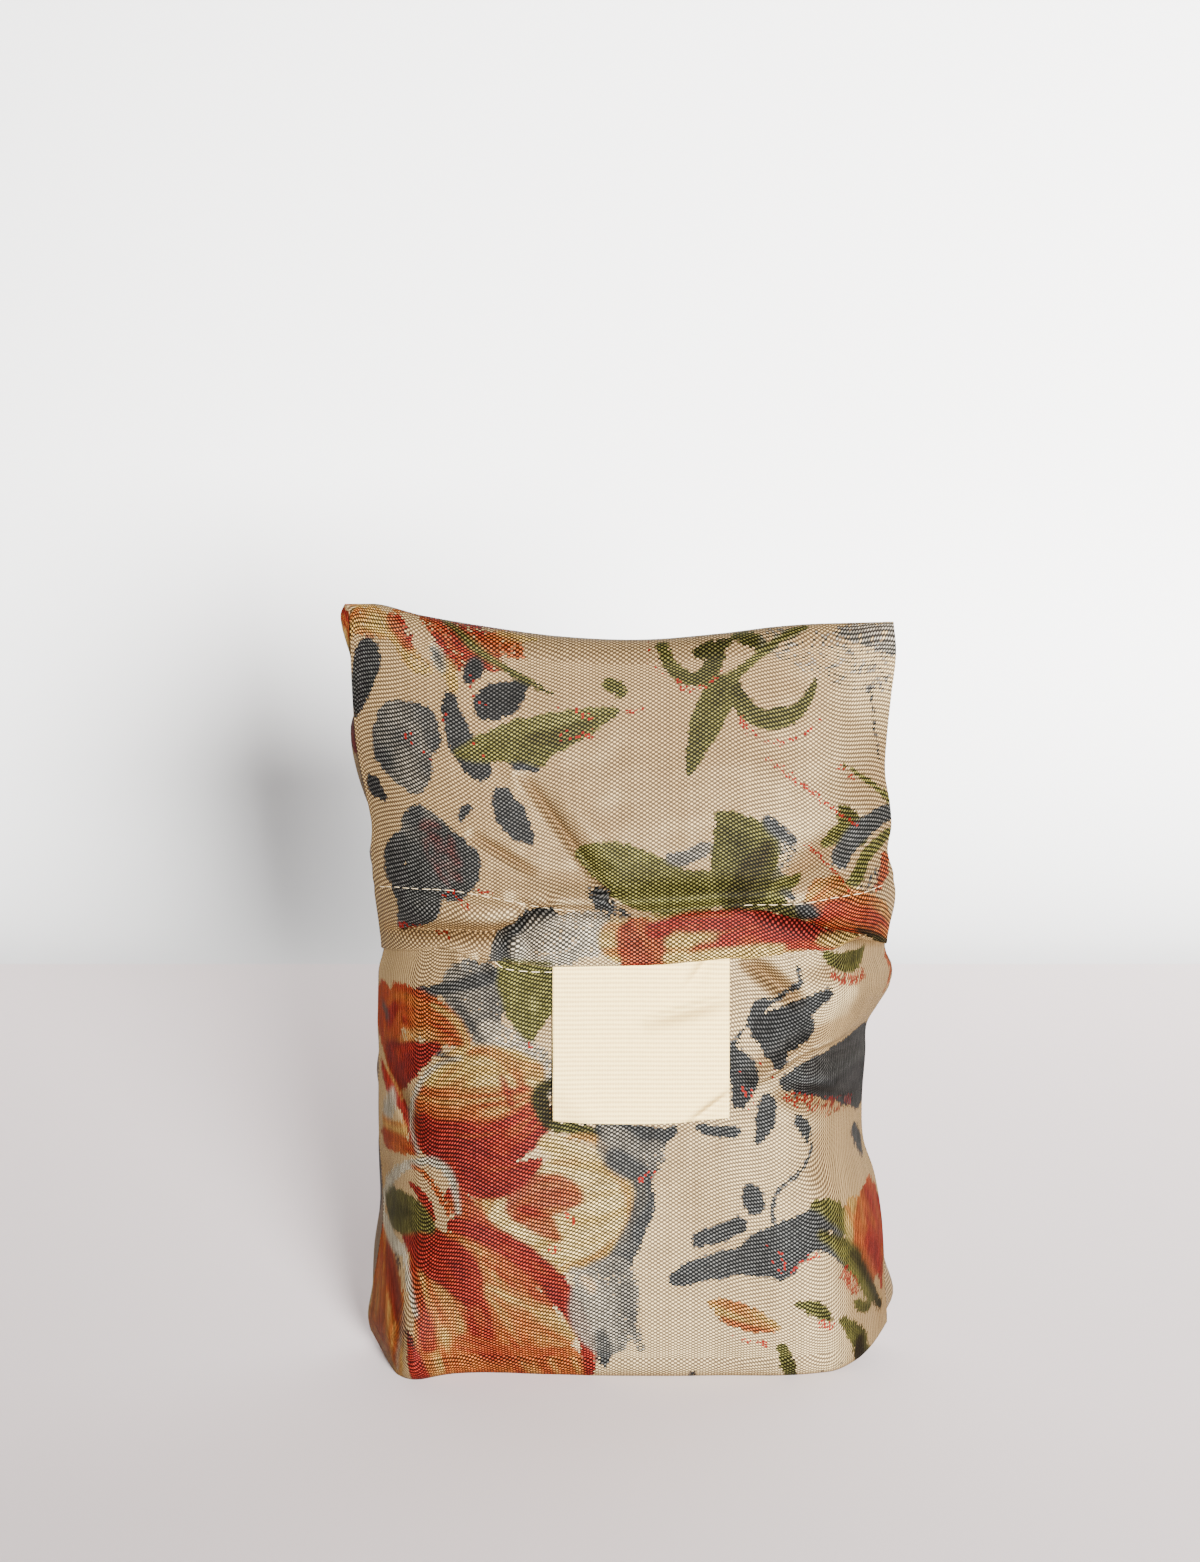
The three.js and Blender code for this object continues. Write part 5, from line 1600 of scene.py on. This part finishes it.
def shape_label(settings):
    """Front and back faces of the label, lying on the pocket with its top under the flap."""
    low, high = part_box("label")
    x = np.linspace(low[0] / MM, high[0] / MM, LABEL_COLUMNS + 1)[None, :]
    share = np.linspace(0, 1, LABEL_ROWS + 1)[:, None]
    z = label_bottom(x) + (LABEL_TOP - label_bottom(x)) * share
    x = np.broadcast_to(x, z.shape)
    u = x / by_side(outline, x, z)
    under = smoothed(skin("front", u, nominal_height(u, z)), LABEL_PASSES)
    normal = grid_normals(under)
    thick = settings.thickness / MM
    stand = LABEL_STAND + LABEL_STAND_MORE * (1 - share) + relief(LABEL_FOLDS, x, z)
    back = under + normal * stand[..., None]
    return back + normal * thick, back, x, z


def line_on(grid, rows, height):
    """Where a row of stitches runs over some rows of the strip: its points and its normals."""
    points, normals = grid[rows], grid_normals(grid)[rows]
    above = points[..., 2] - height(points[..., 0])
    rising = np.argmax((above[:-1] < 0) & (above[1:] >= 0), axis=0)
    column = np.arange(points.shape[1])
    low, high = above[rising, column], above[rising + 1, column]
    share = (-low / np.where(high - low == 0, 1, high - low))[:, None]
    point = points[rising, column] * (1 - share) + points[rising + 1, column] * share
    inner = slice(SEAM_CLEAR, -SEAM_CLEAR)
    return point[inner], normals[rising, column][inner]


def read_along(run, values, at):
    """Vectors read off along a line, each from the two nearest."""
    return np.stack([np.interp(at, run, values[:, axis]) for axis in range(3)], axis=1)


def tube_points(middle, normal, radius):
    """Rings of points round a line."""
    along = np.gradient(middle, axis=0)
    along /= np.linalg.norm(along, axis=1, keepdims=True)
    side = np.cross(along, normal)
    side /= np.linalg.norm(side, axis=1, keepdims=True)
    up = np.cross(side, along)
    angle = np.linspace(0, 2 * math.pi, TUBE_SIDES, endpoint=False)
    ring = np.cos(angle)[:, None, None] * side + np.sin(angle)[:, None, None] * up
    return (middle + radius * ring).transpose(1, 0, 2).reshape(-1, 3)


def tube_faces(first):
    """The faces of a closed tube whose points start at a number."""
    faces = []
    for ring in range(first, first + (TUBE_RINGS - 1) * TUBE_SIDES, TUBE_SIDES):
        for turn in range(TUBE_SIDES):
            a, b = ring + turn, ring + (turn + 1) % TUBE_SIDES
            faces.append((a, b, b + TUBE_SIDES, a + TUBE_SIDES))
    end = first + (TUBE_RINGS - 1) * TUBE_SIDES
    faces.append(tuple(range(first, first + TUBE_SIDES))[::-1])
    faces.append(tuple(range(end, end + TUBE_SIDES)))
    return faces


def stitch_tubes(points, normals, settings, seed, rolled):
    """Short threads along a line, each out of the cloth and in again, as points and faces. There
    are none where the cloth above rolls over the line."""
    chance = np.random.default_rng(seed)
    run = np.concatenate([[0], np.cumsum(np.linalg.norm(np.diff(points, axis=0), axis=1))])
    step = (settings.length + settings.gap) / MM
    radius = settings.radius / MM
    share = np.linspace(0, 1, TUBE_RINGS)
    height = radius * (STITCH_ARCH * np.sin(math.pi * share) - STITCH_SUNK)
    made, faces = [], []
    for number in range(int(run[-1] / step)):
        begin = number * step + chance.uniform(0, STITCH_LATE) * step
        length = settings.length / MM * chance.uniform(STITCH_SHORT, STITCH_LONG)
        at = begin + length * share
        middle = read_along(run, points, at)
        if rolled.left < middle[0, 0] < rolled.right:
            continue
        normal = read_along(run, normals, at)
        faces += tube_faces(len(made) * TUBE_SIDES * TUBE_RINGS)
        made.append(tube_points(middle + normal * height[:, None], normal, radius))
    return np.concatenate(made), faces


def folded_layers(settings):
    """The bag's layers from the front to the back, each the other way up than the one before."""
    u = np.linspace(-1, 1, FILLING_COLUMNS + 1)[None, :] * settings.reach
    z = np.linspace(FILLING_LOW, FILLING_HIGH, LAYER_ROWS + 1)[:, None]
    front = smoothed(skin("front", u, z + 0 * u), FILLING_PASSES)
    back = smoothed(skin("back", u, z + 0 * u), FILLING_PASSES)
    clear = settings.clearance / MM
    layers = []
    for number in range(settings.layers):
        share = (number + 0.5) / settings.layers
        layer = front * (1 - share) + back * share
        layer[..., 1] = (front[..., 1] + clear) * (1 - share) + (back[..., 1] - clear) * share
        layer[..., 0] = front[..., 0]
        layers.append(layer if number % 2 == 0 else layer[::-1])
    return layers


def shape_filling(settings):
    """One sheet folded back and forth in the room that the pouch leaves it."""
    layers = folded_layers(settings)
    made = [layers[0]]
    for before, after in zip(layers, layers[1:]):
        upward = 1 if before[-1, 0, 2] > before[0, 0, 2] else -1
        middle = (before[-1] + after[0]) / 2
        half = (after[0] - before[-1]) / 2
        radius = np.linalg.norm(half, axis=-1, keepdims=True)
        for angle in np.linspace(-math.pi / 2, math.pi / 2, FOLD_ROWS + 2)[1:-1]:
            out = np.array([0, 0, upward]) * math.cos(angle)
            made.append((middle + half * math.sin(angle) + out * radius)[None])
        made.append(after)
    return np.concatenate(made)


class PouchSettings(bpy.types.PropertyGroup):
    flat_width: FloatProperty(
        name="Flat width", description="Of the strip, seam to seam", default=0.118, unit="LENGTH"
    )
    flat_length: FloatProperty(
        name="Flat length", description="Of the strip with its hems", default=0.382, unit="LENGTH"
    )
    thread: FloatVectorProperty(
        name="Bare thread", description="Colour on its crown", size=4, default=BARE_CROWN, subtype="COLOR"
    )
    gap: FloatVectorProperty(
        name="Gap", description="Colour between bare threads", size=4, default=BARE_GAP, subtype="COLOR"
    )
    red_dot: FloatVectorProperty(
        name="Dots", description="Colour of the small dots", size=4, default=RED_DOT, subtype="COLOR"
    )


class LabelSettings(bpy.types.PropertyGroup):
    thickness: FloatProperty(
        name="Thickness", description="Of the cotton tape", default=0.00045, unit="LENGTH"
    )
    flat: FloatVectorProperty(
        name="Flat size", description="Width and length", size=2, default=(0.036, 0.0385), unit="LENGTH"
    )
    rib: FloatVectorProperty(
        name="Rib", description="Colour of the cotton's ribs", size=4, default=COTTON_HIGH, subtype="COLOR"
    )
    groove: FloatVectorProperty(
        name="Groove", description="Colour between the ribs", size=4, default=COTTON_LOW, subtype="COLOR"
    )


class StitchSettings(bpy.types.PropertyGroup):
    length: FloatProperty(name="Stitch", description="Length of a stitch", default=0.0019, unit="LENGTH")
    gap: FloatProperty(name="Gap", description="Between two stitches", default=0.0007, unit="LENGTH")
    radius: FloatProperty(name="Radius", description="Of the thread", default=0.00008, unit="LENGTH")
    flap_thread: FloatVectorProperty(
        name="Flap thread", description="Its colour", size=4, default=FLAP_THREAD, subtype="COLOR"
    )
    pocket_thread: FloatVectorProperty(
        name="Pocket thread", description="Its colour", size=4, default=POCKET_THREAD, subtype="COLOR"
    )


class FillingSettings(bpy.types.PropertyGroup):
    layers: IntProperty(name="Layers", description="Of the folded bag", default=7)
    clearance: FloatProperty(
        name="Clearance", description="Between bag and pouch", default=0.0016, unit="LENGTH"
    )
    reach: FloatProperty(
        name="Reach", description="Share of the pouch's half width", default=0.84, subtype="FACTOR"
    )


class StageSettings(bpy.types.PropertyGroup):
    lens: FloatProperty(name="Lens", description="Focal length", default=LENS, unit="CAMERA")
    distance: FloatProperty(
        name="Distance", description="From the camera to its aim", default=CAMERA_AWAY * MM, unit="LENGTH"
    )
    pitch: FloatProperty(
        name="Pitch", description="Camera's tilt down", default=CAMERA_PITCH, unit="ROTATION"
    )
    aim: FloatVectorProperty(
        name="Aim",
        description="Point that the camera faces",
        default=[place * MM for place in CAMERA_AIM],
        unit="LENGTH",
    )
    wall: FloatProperty(
        name="Wall", description="From the pouch to the wall", default=0.435, unit="LENGTH"
    )
    cove: FloatProperty(
        name="Cove", description="Radius of the turn into the wall", default=0.1, unit="LENGTH"
    )
    key_power: FloatProperty(name="Key", description="Power of the key light", default=42, unit="POWER")
    key_size: FloatVectorProperty(
        name="Key size", description="Width and height", size=2, default=(1.25, 0.6), unit="LENGTH"
    )
    sky: FloatProperty(name="Sky", description="Strength of the light all round", default=0.06)
    floor_color: FloatVectorProperty(
        name="Floor", description="Colour of its paint", size=4, default=FLOOR, subtype="COLOR"
    )
    wall_color: FloatVectorProperty(
        name="Wall paint", description="Its colour", size=4, default=WALL, subtype="COLOR"
    )


class StripStore:
    """The strip's points and each part's first row, kept by the pouch's operator for the stitches."""

    grid = None
    start = None


class BAG_OT_pouch(bpy.types.Operator):
    """Sew the pouch from one strip of printed cloth"""

    bl_idname = "object.bag_pouch"
    bl_label = "Pouch"

    def execute(self, context):
        grid, start = shape_strip(STRIP_ROWS)
        StripStore.grid, StripStore.start = grid, start
        s, t = flat_lengths(grid)
        rgba, dots = print_strip(grid, s, t, start)
        mesh = grid_mesh("pouch_cloth", close_seams(grid))
        add_uv(mesh, seam_columns(s), seam_columns(t))
        add_print(mesh, seam_columns(rgba))
        add_share(mesh, "red_dots", seam_columns(dots))
        # painted shade in folds, hollows and where the cloth turns from the light
        add_share(mesh, "dull", seam_columns(painted_shade_share(grid, start)))
        made = add_object("pouch_cloth", mesh, printed_cloth(context.scene.bag_pouch))
        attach(made, "root")
        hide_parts("pouch")
        return {"FINISHED"}


class BAG_OT_label(bpy.types.Operator):
    """Lay the bare cotton label on the pocket, its top under the flap"""

    bl_idname = "object.bag_label"
    bl_label = "Label"

    def execute(self, context):
        settings = context.scene.bag_label
        front, back, x, z = shape_label(settings)
        mesh = closed_sheet_mesh("label_cotton", front, back)
        both_faces = np.concatenate([x, x]), np.concatenate([z, z])
        add_uv(mesh, *both_faces)
        add_share(mesh, "shaded", crease_shade(*both_faces))
        made = add_object("label_cotton", mesh, label_cotton(settings))
        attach(made, "root")
        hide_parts("label")
        return {"FINISHED"}


class BAG_OT_stitches(bpy.types.Operator):
    """Run the rows of stitches that hold the flap's and the pocket's hems"""

    bl_idname = "object.bag_stitches"
    bl_label = "Stitches"

    def execute(self, context):
        settings = context.scene.bag_stitches
        grid, start = StripStore.grid, StripStore.start
        if grid is None:
            raise RuntimeError("the pouch has to be sewn before its stitches")
        flap = slice(start["flap"], start["top_front"])
        pocket = slice(start["pocket"], start["tuck"])
        for name, rows, height, seed, color, rolled in (
            ("flap_stitches", flap, stitch_line, FLAP_SEED, settings.flap_thread, ROLLED_OVER),
            ("pocket_stitches", pocket, pocket_stitches, POCKET_SEED, settings.pocket_thread, NO_ROLL),
        ):
            points, normals = line_on(grid, rows, height)
            tubes, faces = stitch_tubes(points, normals, settings, seed, rolled)
            made = add_object(name, new_mesh(name, tubes, faces), plain_thread(name, color))
            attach(made, "root")
        return {"FINISHED"}


class BAG_OT_filling(bpy.types.Operator):
    """Fold the bag itself back and forth inside the pouch"""

    bl_idname = "object.bag_filling"
    bl_label = "Folded bag"

    def execute(self, context):
        grid = shape_filling(context.scene.bag_filling)
        s, t = flat_lengths(grid)
        mesh = grid_mesh("bag_cloth", grid)
        add_uv(mesh, s, t)
        made = add_object("bag_cloth", mesh, bpy.data.materials["printed_cloth"])
        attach(made, "root")
        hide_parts("folded_bag")
        return {"FINISHED"}


class BAG_OT_declare(bpy.types.Operator):
    """Does nothing: no sheet's flat size or hold is given here"""

    bl_idname = "object.bag_declare"
    bl_label = "Sheets"

    def execute(self, context):
        return {"FINISHED"}


def stage_material(name, color, see_through):
    """Matt paint. From behind, the wall is see-through."""
    graph = Graph(name)
    material = graph.surface(Base_Color=color, Roughness=0.9, Specular_IOR_Level=0.15)
    if see_through:
        paint_node = graph.output.inputs["Surface"].links[0].from_socket
        clear = graph.nodes.new("ShaderNodeBsdfTransparent")
        side = graph.nodes.new("ShaderNodeNewGeometry")
        choice = graph.nodes.new("ShaderNodeMixShader")
        graph.put(choice.inputs[0], side.outputs["Backfacing"])
        graph.put(choice.inputs[1], paint_node)
        graph.put(choice.inputs[2], clear.outputs[0])
        graph.put(graph.output.inputs["Surface"], choice.outputs[0])
    return material


def wall_grid(settings):
    """The cove and the wall above it, in millimetres, faced from the pouch."""
    angle = np.linspace(0, math.pi / 2, COVE_STEPS)
    wall, cove = settings.wall / MM, settings.cove / MM
    y = np.append(wall - cove + cove * np.sin(angle), wall)
    z = np.append(cove * (1 - np.cos(angle)) + COVE_CLEAR, WALL_TOP)
    grid = np.zeros((len(y), 2, 3))
    grid[..., 0] = -WALL_HALF, WALL_HALF
    grid[..., 1], grid[..., 2] = y[:, None], z[:, None]
    return grid


def floor_grid():
    grid = np.zeros((2, 2, 3))
    grid[..., 0] = -FLOOR_HALF, FLOOR_HALF
    grid[..., 1] = [[-FLOOR_HALF], [FLOOR_HALF]]
    return grid


def add_camera(settings):
    camera = bpy.data.objects.new("camera", bpy.data.cameras.new("camera"))
    bpy.context.scene.collection.objects.link(camera)
    camera.data.lens = settings.lens
    camera.data.sensor_width = FILM
    back = Vector((0, -math.cos(settings.pitch), math.sin(settings.pitch)))
    camera.location = Vector(settings.aim) + back * settings.distance
    camera.rotation_euler = (math.pi / 2 - settings.pitch, 0, 0)
    bpy.context.scene.camera = camera


def add_light(name, settings):
    light = bpy.data.objects.new(name, bpy.data.lights.new(name, "AREA"))
    bpy.context.scene.collection.objects.link(light)
    light.data.shape = "RECTANGLE"
    light.data.size, light.data.size_y = settings.key_size
    light.data.energy = settings.key_power
    light.data.color = KEY_COLOR
    light.data.spread = KEY_SPREAD
    light.location = KEY_PLACE
    away = light.location - Vector(KEY_AIM)
    light.rotation_euler = away.to_track_quat("Z", "Y").to_euler()


def light_room(strength):
    """A faint light all round."""
    world = bpy.data.worlds.new("soft_room")
    world.use_nodes = True
    room = world.node_tree.nodes["Background"]
    room.inputs["Color"].default_value = ROOM_COLOR
    room.inputs["Strength"].default_value = strength
    bpy.context.scene.world = world


class BAG_OT_stage(bpy.types.Operator):
    """Set the floor, the wall, the lights and the camera"""

    bl_idname = "object.bag_stage"
    bl_label = "Stage"

    def execute(self, context):
        settings = context.scene.bag_stage
        floor_paint = stage_material("floor", settings.floor_color, False)
        wall_paint = stage_material("wall", settings.wall_color, True)
        floor = add_object("floor", grid_mesh("floor", floor_grid()), floor_paint)
        wall = add_object("wall", grid_mesh("wall", wall_grid(settings)), wall_paint)
        add_light("key", settings)
        light_room(settings.sky)
        add_camera(settings)
        return {"FINISHED"}


class BAG_PT_panel(bpy.types.Panel):
    """Builds the folded bag piece by piece"""

    bl_label = "Folded bag"
    bl_space_type = "VIEW_3D"
    bl_region_type = "UI"
    bl_category = "Folded bag"

    def draw(self, context):
        for operator in OPERATORS:
            self.layout.operator(operator.bl_idname)


GROUPS = {
    "bag_pouch": PouchSettings,
    "bag_label": LabelSettings,
    "bag_stitches": StitchSettings,
    "bag_filling": FillingSettings,
    "bag_stage": StageSettings,
}
OPERATORS = [
    BAG_OT_pouch,
    BAG_OT_label,
    BAG_OT_stitches,
    BAG_OT_filling,
    BAG_OT_declare,
    BAG_OT_stage,
]


def register():
    for name, group in GROUPS.items():
        bpy.utils.register_class(group)
        setattr(bpy.types.Scene, name, PointerProperty(type=group))
    for operator in OPERATORS:
        bpy.utils.register_class(operator)
    bpy.utils.register_class(BAG_PT_panel)


def unregister():
    bpy.utils.unregister_class(BAG_PT_panel)
    for operator in reversed(OPERATORS):
        bpy.utils.unregister_class(operator)
    for name, group in GROUPS.items():
        delattr(bpy.types.Scene, name)
        bpy.utils.unregister_class(group)


def main():
    register()
    bpy.ops.object.bag_pouch()
    bpy.ops.object.bag_label()
    bpy.ops.object.bag_stitches()
    bpy.ops.object.bag_filling()
    bpy.ops.object.bag_declare()
    bpy.ops.object.bag_stage()


if __name__ == "__main__":
    main()
